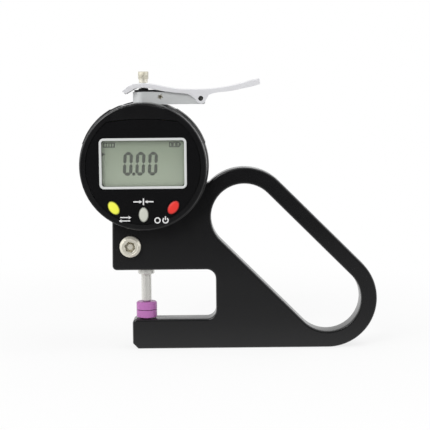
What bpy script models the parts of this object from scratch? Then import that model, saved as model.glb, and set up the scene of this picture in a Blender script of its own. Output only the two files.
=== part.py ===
"""Digital thickness gauge: a round display head clamped in a plate frame with a handle loop.

Lengths are in metres. X points to the right, Y into the picture and Z up. The origin lies on the
frame's underside, straight below the spindle, in the middle of the plate.
Turned pieces are given as (radius, height) pairs that run from the top down their outer side.
On pieces whose axis is Y the height is the distance forward, towards the reader of the display.
"""
import math

import bmesh
import bpy

MM = 0.001

# Fits and cutters
FIT_GAP = 0.15 * MM
SEAT_GAP = 0.3 * MM
OVERRUN = 1.0 * MM
EDGE_BREAK = 0.4 * MM
WELD_DISTANCE = 0.002 * MM

# Numbers of sides
SIDES_HEAD = 60
SIDES_ROUND = 32
SIDES_SMALL = 20
ARC_STEP = math.radians(9.0)
ROUNDING_STEP = math.radians(30.0)
SHARP_ANGLE = math.radians(35.0)

# Frame plate
FRAME_THICKNESS = 12.0 * MM
FRAME_EDGE_RADIUS = 1.1 * MM
FRAME_EDGE_RESOLUTION = 1
LOWER_ARM_HEIGHT = 14.5 * MM
LOWER_ARM_REACH = 6.7 * MM
LOWER_ARM_CHAMFER = 2.6 * MM
LOWER_ARM_TIP_RADIUS = 2.0 * MM
THROAT_HEIGHT = 24.0 * MM
THROAT_DEPTH = 33.8 * MM
THROAT_CORNER_RADIUS = 4.5 * MM
UPPER_ARM_HEIGHT = 18.8 * MM
UPPER_ARM_REACH = 16.0 * MM
UPPER_ARM_CORNER_RADIUS = 2.2 * MM
SLOT_RADIUS = 16.0 * MM
SLOT_LENGTH_BETWEEN_CENTRES = 56.6 * MM
SLOT_ANGLE = math.radians(45.0)
LOOP_WALL = 7.8 * MM
LOOP_REACH = 87.8 * MM
LOOP_START_ANGLE = math.radians(165.0)
SADDLE_DEPTH_SHARE = 0.6
CLAMP_SLIT_WIDTH = 1.0 * MM

# Clamp screw in the upper arm
CLAMP_SCREW_OFFSET = 7.1 * MM
CLAMP_SCREW_RISE = 11.7 * MM
CLAMP_HEAD_DIAMETER = 10.4 * MM
CLAMP_HEAD_HEIGHT = 3.2 * MM
CLAMP_HEAD_ROUNDING = 1.3 * MM
CLAMP_SHANK_DIAMETER = 5.0 * MM
CLAMP_SHANK_LENGTH = 10.4 * MM
CLAMP_SOCKET_FLATS = 4.0 * MM
CLAMP_SOCKET_DEPTH = 2.0 * MM

# Head: a bezel, a body shell and a rear cover on one axis
HEAD_RADIUS = 31.0 * MM
HEAD_CLEARANCE = 0.6 * MM
BODY_FRONT = 7.0 * MM
BODY_REAR = -7.5 * MM
BODY_WALL = 3.0 * MM
BODY_EDGE = 0.6 * MM
LEDGE_WIDTH = 1.5 * MM
LEDGE_THICKNESS = 1.1 * MM
BOSS_HALF_WIDTH = 6.5 * MM
BOSS_SIDE_WALL = 0.8 * MM
LOWER_BOSS_LENGTH = 4.8 * MM
UPPER_BOSS_LENGTH = 6.7 * MM
LAND_DROP = 2.1 * MM
POST_RADIUS = 3.0 * MM
POST_INSET = 2.5 * MM
POST_FIRST_ANGLE = math.radians(45.0)
POST_COUNT = 4

# Snap-in covers on the rim of the head, one on each side
RIM_COVER_PROUD = 0.4 * MM
RIM_COVER_FLOOR = 1.0 * MM
RIM_COVER_MARGIN = 1.4 * MM
RIM_COVER_START = math.radians(20.0)
RIM_COVER_END = math.radians(59.5)

# Front bezel
BEZEL_FRONT = 15.0 * MM
BEZEL_SETBACK = 0.6 * MM
BEZEL_DRAFT = 0.3 * MM
BEZEL_CORNER = 0.8 * MM
BEZEL_WALL_THICKNESS = 1.4 * MM
BEZEL_LIP = 0.9 * MM
BEZEL_SPIGOT_LENGTH = 0.6 * MM

# Face plate: a disc cut off at the top by a shallow arch
LABEL_BORDER = 2.3 * MM
LABEL_THICKNESS = 0.5 * MM
ARCH_RADIUS = 115.0 * MM
ARCH_DROP = 4.6 * MM

# Display
WINDOW_SIDE_MARGIN = 6.35 * MM
WINDOW_TOP_MARGIN = 0.7 * MM
WINDOW_DEPTH_BELOW_AXIS = 10.3 * MM
WINDOW_CORNER = 2.3 * MM
TRIM_BORDER = 1.2 * MM
TRIM_THICKNESS = 0.8 * MM
LENS_THICKNESS = 1.6 * MM
LENS_SETBACK = 0.1 * MM
LCD_MARGIN = 0.2 * MM
LCD_THICKNESS = 2.0 * MM
CONNECTOR_WIDTH = 2.0 * MM
CONNECTOR_INSET = 1.6 * MM

# Buttons: the outer two are swung round the head's axis and lean the other way
BUTTON_INSET = 3.2 * MM
MIDDLE_BUTTON_INSET = 4.5 * MM
BUTTON_SWING = math.radians(36.3)
BUTTON_TILT = math.radians(36.0)
BUTTON_WIDTH = 4.6 * MM
BUTTON_LENGTH = 6.8 * MM
BUTTON_PROUD = 0.8 * MM
BUTTON_ROUNDING = 0.6 * MM
BUTTON_FLANGE = 0.35 * MM
BUTTON_FLANGE_THICKNESS = 0.8 * MM
BUTTON_TRAVEL = 0.8 * MM
PAD_INSET = 1.1 * MM
PAD_WIDTH = 7.0 * MM
PAD_HALF_ANGLE = math.radians(46.0)

# Main board and what is on it
BOARD_FRONT = 6.4 * MM
BOARD_THICKNESS = 1.2 * MM
BOARD_CLEARANCE = 0.5 * MM
CHIP_SIZE = 8.0 * MM
CHIP_THICKNESS = 1.0 * MM
CHIP_ACROSS = -14.0 * MM
CHIP_DROP = 6.0 * MM

# Battery drawer, which slides up out of the bezel
DRAWER_HALF_WIDTH = 15.3 * MM
TRAY_HALF_WIDTH = 7.0 * MM
TRAY_FLOOR = 0.7 * MM
TRAY_REAR_SETBACK = 0.2 * MM
CELL_DIAMETER = 11.6 * MM
CELL_THICKNESS = 5.4 * MM
CELL_DROP = 1.2 * MM
CELL_SHOULDER = 0.5 * MM
GRIP_RIB_COUNT = 16
GRIP_HALF_ANGLE = math.radians(19.5)
GRIP_GROOVE_WIDTH = 0.6 * MM
GRIP_GROOVE_DEPTH = 1.5 * MM
GRIP_GROOVE_LENGTH = 1.2 * MM
BATTERY_CONTACT_THICKNESS = 0.5 * MM
BATTERY_CONTACT_WIDTH = 2.4 * MM
BATTERY_CONTACT_LENGTH = 6.0 * MM
BATTERY_CONTACT_SPACING = 4.4 * MM

# Rear cover and its screws
COVER_THICKNESS = 2.0 * MM
COVER_EDGE = 0.6 * MM
COVER_SETBACK = 0.2 * MM
COVER_SCREW_HEAD_DIAMETER = 3.8 * MM
COVER_SCREW_HEAD_HEIGHT = 1.2 * MM
COVER_SCREW_DIAMETER = 2.0 * MM
COVER_SCREW_LENGTH = 5.5 * MM
COVER_SCREW_SLOT_WIDTH = 0.6 * MM
COVER_SCREW_SLOT_LENGTH = 2.6 * MM
COVER_SCREW_SLOT_DEPTH = 0.6 * MM

# Stem below the head, upper stem above it, and their bushes
STEM_DIAMETER = 8.0 * MM
STEM_PROTRUSION = 2.4 * MM
STEM_ENGAGEMENT = 7.2 * MM
STEM_BUSH_WALL = 0.7 * MM
STEM_BUSH_LENGTH = 9.0 * MM
STEM_BUSH_INSET = 0.3 * MM
UPPER_STEM_DIAMETER = 7.4 * MM
UPPER_STEM_PROTRUSION = 6.0 * MM
UPPER_STEM_ENGAGEMENT = 5.7 * MM
UPPER_BUSH_DIAMETER = 4.8 * MM
UPPER_BUSH_PROTRUSION = 2.0 * MM

# Spindle, contacts and knob
SPINDLE_DIAMETER = 4.9 * MM
SPINDLE_THIN_DIAMETER = 2.5 * MM
SPINDLE_TRAVEL = 12.7 * MM
STUD_DIAMETER = 2.5 * MM
STUD_LENGTH = 7.6 * MM
STUD_SEAT = 1.8 * MM
CONTACT_DIAMETER = 10.0 * MM
CONTACT_THICKNESS = 3.7 * MM
CONTACT_CHAMFER = 0.7 * MM
ANVIL_THICKNESS = 3.7 * MM
ANVIL_CHAMFER = 0.3 * MM
ANVIL_STUD_DIAMETER = 6.0 * MM
ANVIL_SPIGOT_DIAMETER = 4.0 * MM
ANVIL_SPIGOT_LENGTH = 2.0 * MM
ANVIL_STUD_DEPTH = 11.0 * MM
ANVIL_SCREW_DIAMETER = 3.0 * MM
ANVIL_SCREW_DROP = 6.5 * MM
ANVIL_SCREW_RECESS = 0.2 * MM
ANVIL_SOCKET_FLATS = 1.5 * MM
ANVIL_SOCKET_DEPTH = 1.2 * MM
KNOB_DIAMETER = 5.0 * MM
KNOB_GRIP_HEIGHT = 3.7 * MM
KNOB_SKIRT_DIAMETER = 3.7 * MM
KNOB_SKIRT_HEIGHT = 1.7 * MM
KNOB_CROWN = 1.0 * MM
KNOB_SIDES = 36
KNURL_DEPTH_SHARE = 0.06

# Slider block, scale plate, guide pin and return spring
BLOCK_HEIGHT = 8.0 * MM
BLOCK_LEFT = 5.0 * MM
BLOCK_FRONT = 3.6 * MM
BLOCK_REAR = 4.4 * MM
BLOCK_EAR = 1.3 * MM
SLIDER_SCREW_DIAMETER = 2.0 * MM
SCALE_WIDTH = 7.0 * MM
SCALE_LENGTH = 19.0 * MM
SCALE_THICKNESS = 0.7 * MM
SCALE_HANG = 6.0 * MM
TRAVEL_CLEARANCE = 1.8 * MM
PIN_DIAMETER = 2.0 * MM
PIN_ACROSS = 8.0 * MM
PIN_SLIDE_GAP = 0.3 * MM
PIN_END_INSET = 0.8 * MM
PIN_HOLE_INSET = 0.5 * MM
SPRING_WIRE = 0.45 * MM
SPRING_MEAN_RADIUS = 2.0 * MM
SPRING_TURNS = 10
SPRING_POINTS_PER_TURN = 10

# Lever bracket on the upper stem
BRACKET_HALF_WIDTH = 5.1 * MM
BRACKET_HEIGHT = 6.0 * MM
BRACKET_SLOPE = 0.5 * MM
BRACKET_OVERHANG = 2.0 * MM
BRACKET_SLIT_WIDTH = 1.2 * MM
BRACKET_SCREW_ACROSS = 8.2 * MM
BRACKET_SCREW_RISE = 3.6 * MM
BRACKET_SCREW_DIAMETER = 2.0 * MM
BRACKET_SCREW_RECESS = 0.15 * MM
BRACKET_SCREW_SLOT_WIDTH = 0.5 * MM
BRACKET_SCREW_SLOT_DEPTH = 0.6 * MM

# Lever: a channel bent from sheet, which turns about its pin
PIVOT_ACROSS = 27.5 * MM
PIVOT_RISE = 2.7 * MM
LEVER_PIN_DIAMETER = 2.2 * MM
LEVER_PIN_RECESS = 0.1 * MM
LEVER_SHEET = 1.2 * MM
LEVER_SIDE_GAP = 0.4 * MM
LEVER_EAR_RADIUS = 2.6 * MM
LEVER_EAR_START = math.radians(10.0)
LEVER_EAR_END = math.radians(-170.0)
LEVER_REST_RISE = 7.3 * MM
FORK_GAP = 0.2 * MM
THUMB_REACH = 28.0 * MM

# The lever's top line, left of the pin as shares of the pin's distance across and of its rise,
# and right of the pin as shares of the thumb reach and of the rise.
FORK_TOP_SHARES = (
    (-0.363, 0.52), (-0.284, 0.773), (-0.196, 0.947), (-0.089, 1.0),
    (0.074, 1.0), (0.199, 0.933), (0.288, 0.853), (0.465, 0.72), (0.642, 0.627), (0.823, 0.6),
)
THUMB_TOP_SHARES = (
    (0.0, 0.6), (0.171, 0.627), (0.346, 0.707), (0.518, 0.813), (0.689, 0.973), (0.864, 1.16), (1.0, 1.267),
)
# The lever's lower line in the same shares, from the thumb end back to the fork.
THUMB_BOTTOM_SHARES = (
    (1.01, 0.893), (0.864, 0.733), (0.689, 0.6), (0.518, 0.467), (0.261, 0.36), (0.14, 0.227),
)
FORK_BOTTOM_SHARES = (
    (0.857, 0.107), (0.768, 0.28), (0.554, 0.373), (0.376, 0.467),
    (0.199, 0.6), (0.092, 0.693), (-0.089, 0.707), (-0.196, 0.533), (-0.303, 0.293),
)

# Levels that follow from the sizes above
THROAT_FLOOR = LOWER_ARM_HEIGHT
UPPER_ARM_BOTTOM = THROAT_FLOOR + THROAT_HEIGHT
HEAD_Z = UPPER_ARM_BOTTOM + UPPER_ARM_HEIGHT + HEAD_CLEARANCE + HEAD_RADIUS
LAND_Z = HEAD_Z + HEAD_RADIUS - LAND_DROP
BODY_INNER_RADIUS = HEAD_RADIUS - BODY_WALL
POST_CIRCLE_RADIUS = BODY_INNER_RADIUS - POST_INSET
BEZEL_RIM_RADIUS = HEAD_RADIUS - BEZEL_SETBACK
BEZEL_FACE_RADIUS = BEZEL_RIM_RADIUS - BEZEL_DRAFT - BEZEL_CORNER
BEZEL_INNER_RADIUS = BODY_INNER_RADIUS - BEZEL_LIP
LABEL_RADIUS = BEZEL_FACE_RADIUS - LABEL_BORDER
ARCH_TOP = LABEL_RADIUS - ARCH_DROP
BRACKET_BOTTOM = LAND_Z + SEAT_GAP
PIVOT_Z = BRACKET_BOTTOM + PIVOT_RISE
LEVER_TOP_AT_REST = PIVOT_Z + LEVER_REST_RISE
KNOB_BOTTOM = LEVER_TOP_AT_REST + SEAT_GAP
ANVIL_BOTTOM = THROAT_FLOOR + SEAT_GAP
ANVIL_TOP = ANVIL_BOTTOM + ANVIL_THICKNESS
CONTACT_BOTTOM = ANVIL_TOP + SEAT_GAP
CONTACT_TOP = CONTACT_BOTTOM + CONTACT_THICKNESS
SPINDLE_BOTTOM = CONTACT_TOP + SEAT_GAP
STEM_BOTTOM = UPPER_ARM_BOTTOM - STEM_PROTRUSION
BODY_UNDERSIDE = HEAD_Z - HEAD_RADIUS
STEM_TOP = BODY_UNDERSIDE + STEM_ENGAGEMENT
SCALE_TOP = LAND_Z - UPPER_BOSS_LENGTH - SPINDLE_TRAVEL - TRAVEL_CLEARANCE
BLOCK_BOTTOM = SCALE_TOP - SCALE_LENGTH + SCALE_HANG
BLOCK_TOP = BLOCK_BOTTOM + BLOCK_HEIGHT
UPPER_STEM_BOTTOM = LAND_Z - UPPER_STEM_ENGAGEMENT
UPPER_STEM_TOP = LAND_Z + UPPER_STEM_PROTRUSION
RECESS_FLOOR = BEZEL_FRONT - LABEL_THICKNESS - SEAT_GAP
BEZEL_WALL_REAR = RECESS_FLOOR - BEZEL_WALL_THICKNESS
BEZEL_REAR = BODY_FRONT + SEAT_GAP
BOARD_REAR = BOARD_FRONT - BOARD_THICKNESS
LEDGE_FRONT = BOARD_REAR - SEAT_GAP
CELL_Z = HEAD_Z + ARCH_TOP - CELL_DROP
TRAY_BOTTOM = CELL_Z - CELL_DIAMETER / 2 - SEAT_GAP - TRAY_FLOOR
WINDOW_TOP = TRAY_BOTTOM - WINDOW_TOP_MARGIN
WINDOW_BOTTOM = HEAD_Z - WINDOW_DEPTH_BELOW_AXIS
WINDOW_WIDTH = 2 * (LABEL_RADIUS - WINDOW_SIDE_MARGIN)
WINDOW_HEIGHT = WINDOW_TOP - WINDOW_BOTTOM
WINDOW_Z = (WINDOW_TOP + WINDOW_BOTTOM) / 2
LCD_FRONT = BEZEL_WALL_REAR - SEAT_GAP
LCD_REAR = LCD_FRONT - LCD_THICKNESS
FLANGE_FRONT = BEZEL_WALL_REAR - SEAT_GAP
FLANGE_REAR = FLANGE_FRONT - BUTTON_FLANGE_THICKNESS
DRAWER_REAR = BEZEL_REAR + SEAT_GAP
TRAY_FRONT = RECESS_FLOOR - FIT_GAP
TRAY_REAR = DRAWER_REAR + TRAY_REAR_SETBACK

# Directions: local Z turned to face the reader of the display
FACING_FRONT = (math.radians(90.0), 0.0, 0.0)
UPRIGHT = (0.0, 0.0, 0.0)

# Colours (linear), roughness and metallic share of each finish
FINISHES = {
    "black_paint": ((0.020, 0.020, 0.021), 0.42, 0.0),
    "black_plastic": ((0.014, 0.014, 0.015), 0.45, 0.0),
    "gloss_label": ((0.008, 0.008, 0.010), 0.25, 0.0),
    "white_plastic": ((0.80, 0.80, 0.79), 0.40, 0.0),
    "clear_lens": ((0.70, 0.75, 0.70), 0.08, 0.0),
    "lcd_glass": ((0.34, 0.40, 0.31), 0.30, 0.0),
    "yellow_rubber": ((0.86, 0.84, 0.03), 0.50, 0.0),
    "grey_rubber": ((0.55, 0.54, 0.50), 0.50, 0.0),
    "red_rubber": ((0.80, 0.03, 0.02), 0.50, 0.0),
    "board_green": ((0.02, 0.12, 0.05), 0.50, 0.0),
    "chip_black": ((0.02, 0.02, 0.02), 0.60, 0.0),
    "silicone": ((0.25, 0.25, 0.25), 0.70, 0.0),
    "steel": ((0.60, 0.59, 0.57), 0.28, 1.0),
    "nickel": ((0.66, 0.63, 0.58), 0.22, 1.0),
    "brass": ((0.70, 0.50, 0.22), 0.30, 1.0),
    "aluminium": ((0.75, 0.76, 0.78), 0.35, 1.0),
    "purple_ceramic": ((0.42, 0.17, 0.48), 0.40, 0.0),
    "spring_steel": ((0.50, 0.50, 0.50), 0.30, 1.0),
}


def clear_scene():
    """Removes the objects that Blender starts with."""
    for obj in list(bpy.data.objects):
        bpy.data.objects.remove(obj)


def make_collection(name):
    """A new collection under the scene."""
    group = bpy.data.collections.new(name)
    bpy.context.scene.collection.children.link(group)
    return group


def make_material(name):
    """A Principled material from the table of finishes."""
    known = bpy.data.materials.get(name)
    if known:
        return known
    colour, roughness, metallic = FINISHES[name]
    material = bpy.data.materials.new(name)
    material.use_nodes = True
    shader = material.node_tree.nodes["Principled BSDF"]
    shader.inputs["Base Color"].default_value = (*colour, 1.0)
    shader.inputs["Roughness"].default_value = roughness
    shader.inputs["Metallic"].default_value = metallic
    material.diffuse_color = (*colour, 1.0)
    return material


def place(name, mesh, finish=None, at=(0, 0, 0), turn=UPRIGHT, parent=None):
    """Puts a mesh in the scene as a piece, or as a cutter when it has no finish."""
    obj = bpy.data.objects.new(name, mesh)
    obj.location = at
    obj.rotation_euler = turn
    if finish:
        PARTS.objects.link(obj)
        mesh.materials.append(make_material(finish))
    else:
        CUTTERS.objects.link(obj)
        obj.hide_render = True
        obj.display_type = "WIRE"
    if parent:
        obj.parent = parent
        obj.location = [a - b for a, b in zip(at, parent.location)]
    return obj


def smooth_round(mesh):
    """Smooth shading with sharp edges where faces meet at a steep angle."""
    mesh.shade_smooth()
    mesh.set_sharp_from_angle(angle=SHARP_ANGLE)
    return mesh


def evaluated_mesh(obj):
    """The object's mesh with its modifiers, welded; the object itself is removed."""
    bpy.context.view_layer.update()
    graph = bpy.context.evaluated_depsgraph_get()
    mesh = bpy.data.meshes.new_from_object(obj.evaluated_get(graph))
    work = bmesh.new()
    work.from_mesh(mesh)
    bmesh.ops.remove_doubles(work, verts=work.verts, dist=WELD_DISTANCE)
    bmesh.ops.recalc_face_normals(work, faces=work.faces)
    work.to_mesh(mesh)
    work.free()
    bpy.data.objects.remove(obj)
    return mesh


def turned_mesh(name, profile, sides, closed=False):
    """A turned shape: the profile's (radius, height) pairs swept once round local Z."""
    mesh = bpy.data.meshes.new(name)
    count = len(profile)
    edges = [(i, i + 1) for i in range(count - 1)]
    if closed:
        edges.append((count - 1, 0))
    mesh.from_pydata([(radius, 0, height) for radius, height in profile], edges, [])
    obj = bpy.data.objects.new(name, mesh)
    CUTTERS.objects.link(obj)
    screw = obj.modifiers.new("turn", "SCREW")
    screw.steps = sides
    screw.render_steps = sides
    screw.use_merge_vertices = True
    screw.merge_threshold = WELD_DISTANCE
    return smooth_round(evaluated_mesh(obj))


def turned(name, profile, finish=None, at=(0, 0, 0), turn=UPRIGHT, sides=SIDES_ROUND, closed=False,
           parent=None):
    """A turned piece or cutter."""
    return place(name, turned_mesh(name, profile, sides, closed), finish, at, turn, parent)


def outline_mesh(name, outlines, thickness, rounding=0, resolution=0):
    """A plate from closed (x, y) outlines, the first one outside and the rest holes, centred on local Z."""
    curve = bpy.data.curves.new(name, "CURVE")
    curve.dimensions = "2D"
    curve.fill_mode = "BOTH"
    curve.extrude = thickness / 2 - rounding
    curve.bevel_depth = rounding
    curve.bevel_resolution = resolution
    curve.offset = -rounding
    for outline in outlines:
        spline = curve.splines.new("POLY")
        spline.points.add(len(outline) - 1)
        for point, (x, y) in zip(spline.points, outline):
            point.co = (x, y, 0, 1)
        spline.use_cyclic_u = True
    obj = bpy.data.objects.new(name, curve)
    CUTTERS.objects.link(obj)
    mesh = smooth_round(evaluated_mesh(obj))
    bpy.data.curves.remove(curve)
    return mesh


def plate(name, outlines, front, rear, finish=None, at=(0, 0), parent=None, rounding=0, resolution=0):
    """A flat piece that faces the front, between two distances forward of the frame's middle plane."""
    mesh = outline_mesh(name, outlines, front - rear, rounding, resolution)
    return place(name, mesh, finish, (at[0], -(front + rear) / 2, at[1]), FACING_FRONT, parent)


def box(name, low, high, finish=None, parent=None):
    """A block between two corners."""
    mesh = bpy.data.meshes.new(name)
    work = bmesh.new()
    bmesh.ops.create_cube(work, size=1)
    size = [b - a for a, b in zip(low, high)]
    bmesh.ops.scale(work, vec=size, verts=work.verts)
    work.to_mesh(mesh)
    work.free()
    middle = [(a + b) / 2 for a, b in zip(low, high)]
    return place(name, mesh, finish, middle, UPRIGHT, parent)


def rod(name, radius, bottom, top, finish=None, at=(0, 0), turn=UPRIGHT, sides=SIDES_SMALL, parent=None):
    """A plain cylinder along Z between two heights, or along Y between two distances forward."""
    mesh = bpy.data.meshes.new(name)
    work = bmesh.new()
    bmesh.ops.create_cone(
        work, cap_ends=True, segments=sides, radius1=radius, radius2=radius, depth=top - bottom)
    work.to_mesh(mesh)
    work.free()
    smooth_round(mesh)
    middle = (top + bottom) / 2
    if turn == FACING_FRONT:
        return place(name, mesh, finish, (at[0], -middle, at[1]), turn, parent)
    return place(name, mesh, finish, (at[0], at[1], middle), turn, parent)


def combine(piece, tool, operation):
    """Cuts a tool out of a piece, joins it on, or keeps what they share."""
    modifier = piece.modifiers.new(tool.name, "BOOLEAN")
    modifier.operation = operation
    modifier.solver = "EXACT"
    modifier.object = tool


def cut(piece, *tools):
    """Cuts each tool out of a piece."""
    for tool in tools:
        combine(piece, tool, "DIFFERENCE")


def join(piece, *tools):
    """Joins each tool to a piece."""
    for tool in tools:
        combine(piece, tool, "UNION")


def arc(centre, radius, start, end, step=ARC_STEP):
    """Points along an arc, both ends included."""
    steps = max(2, round(abs(end - start) / step))
    angles = [start + (end - start) * i / steps for i in range(steps + 1)]
    return [(centre[0] + radius * math.cos(a), centre[1] + radius * math.sin(a)) for a in angles]


def ring(radius, sides, squash_share=1.0, tilt=0.0, centre=(0, 0)):
    """A closed circle, or an ellipse whose width is a share of its length and whose length is tilted."""
    points = []
    for i in range(sides):
        angle = 2 * math.pi * i / sides
        x = radius * squash_share * math.cos(angle)
        y = radius * math.sin(angle)
        points.append((
            centre[0] + x * math.cos(tilt) - y * math.sin(tilt),
            centre[1] + x * math.sin(tilt) + y * math.cos(tilt)))
    return points


def rounded_rectangle(width, height, radius, centre=(0, 0)):
    """A closed rectangle with round corners."""
    points = []
    quarter = math.pi / 2
    for index, (sx, sy) in enumerate(((1, 1), (-1, 1), (-1, -1), (1, -1))):
        corner = (centre[0] + sx * (width / 2 - radius), centre[1] + sy * (height / 2 - radius))
        points += arc(corner, radius, index * quarter, (index + 1) * quarter)
    return points


def empty(name, at):
    """A bare point that carries a moving group on its joint's axis."""
    obj = bpy.data.objects.new(name, None)
    obj.location = at
    PARTS.objects.link(obj)
    return obj


def polar(radius, angle):
    """A point at a distance and an angle from the head's axis."""
    return radius * math.cos(angle), HEAD_Z + radius * math.sin(angle)


def frame_outline():
    """The plate's outer edge, from the lower arm's chamfer round the loop and back through the throat."""
    loop_radius = SLOT_RADIUS + LOOP_WALL
    lower = (LOOP_REACH, loop_radius)
    upper = (
        LOOP_REACH - SLOT_LENGTH_BETWEEN_CENTRES * math.cos(SLOT_ANGLE),
        loop_radius + SLOT_LENGTH_BETWEEN_CENTRES * math.sin(SLOT_ANGLE))
    quarter = math.pi / 2
    half = math.pi
    corner = UPPER_ARM_CORNER_RADIUS
    throat = THROAT_CORNER_RADIUS
    tip = LOWER_ARM_TIP_RADIUS
    points = [(-LOWER_ARM_REACH, LOWER_ARM_CHAMFER), (-LOWER_ARM_REACH + LOWER_ARM_CHAMFER, 0)]
    points += arc(lower, loop_radius, -quarter, quarter - SLOT_ANGLE)
    points += arc(upper, loop_radius, quarter - SLOT_ANGLE, LOOP_START_ANGLE)
    points.append((-UPPER_ARM_REACH, HEAD_Z - HEAD_RADIUS * SADDLE_DEPTH_SHARE))
    points += arc((-UPPER_ARM_REACH + corner, UPPER_ARM_BOTTOM + corner), corner, half, half + quarter)
    points += arc((THROAT_DEPTH - throat, UPPER_ARM_BOTTOM - throat), throat, quarter, 0)
    points += arc((THROAT_DEPTH - throat, THROAT_FLOOR + throat), throat, 0, -quarter)
    points += arc((-LOWER_ARM_REACH + tip, THROAT_FLOOR - tip), tip, quarter, half)
    slot = arc(lower, SLOT_RADIUS, -quarter - SLOT_ANGLE, quarter - SLOT_ANGLE)
    slot += arc(upper, SLOT_RADIUS, quarter - SLOT_ANGLE, half + quarter - SLOT_ANGLE)
    return points, slot


def make_frame():
    """The plate with its split clamp bore, screw holes and anvil bore."""
    half = FRAME_THICKNESS / 2
    frame = plate(
        "frame", frame_outline(), half, -half, "black_paint",
        rounding=FRAME_EDGE_RADIUS, resolution=FRAME_EDGE_RESOLUTION)
    stem_radius = STEM_DIAMETER / 2 + FIT_GAP
    screw_z = UPPER_ARM_BOTTOM + CLAMP_SCREW_RISE
    anvil_radius = ANVIL_STUD_DIAMETER / 2 + FIT_GAP
    cut(
        frame,
        rod("head_saddle", HEAD_RADIUS + HEAD_CLEARANCE, -half - OVERRUN, half + OVERRUN,
            at=(0, HEAD_Z), turn=FACING_FRONT, sides=SIDES_HEAD),
        rod("stem_bore", stem_radius, UPPER_ARM_BOTTOM - OVERRUN, HEAD_Z, sides=SIDES_ROUND),
        box("clamp_slit",
            (-UPPER_ARM_REACH - OVERRUN, -CLAMP_SLIT_WIDTH / 2, UPPER_ARM_BOTTOM - OVERRUN),
            (0, CLAMP_SLIT_WIDTH / 2, HEAD_Z)),
        rod("clamp_hole", CLAMP_SHANK_DIAMETER / 2 + FIT_GAP, half - CLAMP_SHANK_LENGTH - SEAT_GAP,
            half + OVERRUN, at=(-CLAMP_SCREW_OFFSET, screw_z), turn=FACING_FRONT),
        rod("anvil_bore", anvil_radius, THROAT_FLOOR - ANVIL_STUD_DEPTH - SEAT_GAP, THROAT_FLOOR + OVERRUN),
        rod("anvil_screw_hole", ANVIL_SCREW_DIAMETER / 2 + FIT_GAP, -half - OVERRUN, 0,
            at=(0, THROAT_FLOOR - ANVIL_SCREW_DROP), turn=FACING_FRONT),
    )


def make_clamp_screw():
    """A low round head with a hex socket on a plain shank."""
    head = CLAMP_HEAD_DIAMETER / 2
    shank = CLAMP_SHANK_DIAMETER / 2
    rounding = CLAMP_HEAD_ROUNDING
    profile = [(0, CLAMP_HEAD_HEIGHT)]
    profile += arc((head - rounding, CLAMP_HEAD_HEIGHT - rounding), rounding, math.pi / 2, 0, ROUNDING_STEP)
    profile += [(head, 0), (shank, 0), (shank, -CLAMP_SHANK_LENGTH + EDGE_BREAK)]
    profile += [(shank - EDGE_BREAK, -CLAMP_SHANK_LENGTH), (0, -CLAMP_SHANK_LENGTH)]
    front = FRAME_THICKNESS / 2 + SEAT_GAP
    at = (-CLAMP_SCREW_OFFSET, UPPER_ARM_BOTTOM + CLAMP_SCREW_RISE)
    screw = turned("clamp_screw", profile, "steel", (at[0], -front, at[1]), FACING_FRONT)
    top = front + CLAMP_HEAD_HEIGHT
    cut(screw, rod(
        "clamp_socket", CLAMP_SOCKET_FLATS / math.sqrt(3), top - CLAMP_SOCKET_DEPTH, top + OVERRUN,
        at=at, turn=FACING_FRONT, sides=6))


def make_anvil():
    """The fixed contact: a ceramic disc on a steel stud, held from behind by a set screw."""
    disc_radius = CONTACT_DIAMETER / 2
    stud_radius = ANVIL_STUD_DIAMETER / 2
    spigot = ANVIL_SPIGOT_DIAMETER / 2
    turned("anvil_disc", [
        (0, ANVIL_THICKNESS),
        (disc_radius - ANVIL_CHAMFER, ANVIL_THICKNESS),
        (disc_radius, ANVIL_THICKNESS - ANVIL_CHAMFER),
        (disc_radius, ANVIL_CHAMFER),
        (disc_radius - ANVIL_CHAMFER, 0),
        (spigot + FIT_GAP, 0),
        (spigot + FIT_GAP, ANVIL_SPIGOT_LENGTH + SEAT_GAP),
        (0, ANVIL_SPIGOT_LENGTH + SEAT_GAP),
    ], "purple_ceramic", (0, 0, ANVIL_BOTTOM))
    turned("anvil_stud", [
        (0, ANVIL_STUD_DEPTH + ANVIL_SPIGOT_LENGTH),
        (spigot, ANVIL_STUD_DEPTH + ANVIL_SPIGOT_LENGTH),
        (spigot, ANVIL_STUD_DEPTH),
        (stud_radius, ANVIL_STUD_DEPTH),
        (stud_radius, 0),
        (0, 0),
    ], "steel", (0, 0, ANVIL_BOTTOM - SEAT_GAP - ANVIL_STUD_DEPTH), sides=SIDES_SMALL)
    outer = -FRAME_THICKNESS / 2 + ANVIL_SCREW_RECESS
    at = (0, THROAT_FLOOR - ANVIL_SCREW_DROP)
    screw = rod(
        "anvil_set_screw", ANVIL_SCREW_DIAMETER / 2, outer, -stud_radius - SEAT_GAP, "steel",
        at=at, turn=FACING_FRONT)
    cut(screw, rod(
        "anvil_socket", ANVIL_SOCKET_FLATS / math.sqrt(3), outer - OVERRUN, outer + ANVIL_SOCKET_DEPTH,
        at=at, turn=FACING_FRONT, sides=6))


def rim_cover_outline(inner, outer, margin):
    """The edge of a rim cover on the right, grown by a margin at both ends."""
    spread = margin / outer
    points = arc((0, 0), outer, RIM_COVER_START - spread, RIM_COVER_END + spread)
    points += arc((0, 0), inner, RIM_COVER_END + spread, RIM_COVER_START - spread)
    return points


def mirrored(outline):
    """The same edge on the other side of the head."""
    return [(-x, y) for x, y in outline]


def post_places():
    """Where the rear cover's screws stand round the head's axis."""
    return [
        polar(POST_CIRCLE_RADIUS, POST_FIRST_ANGLE + 2 * math.pi * i / POST_COUNT)
        for i in range(POST_COUNT)]


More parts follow.
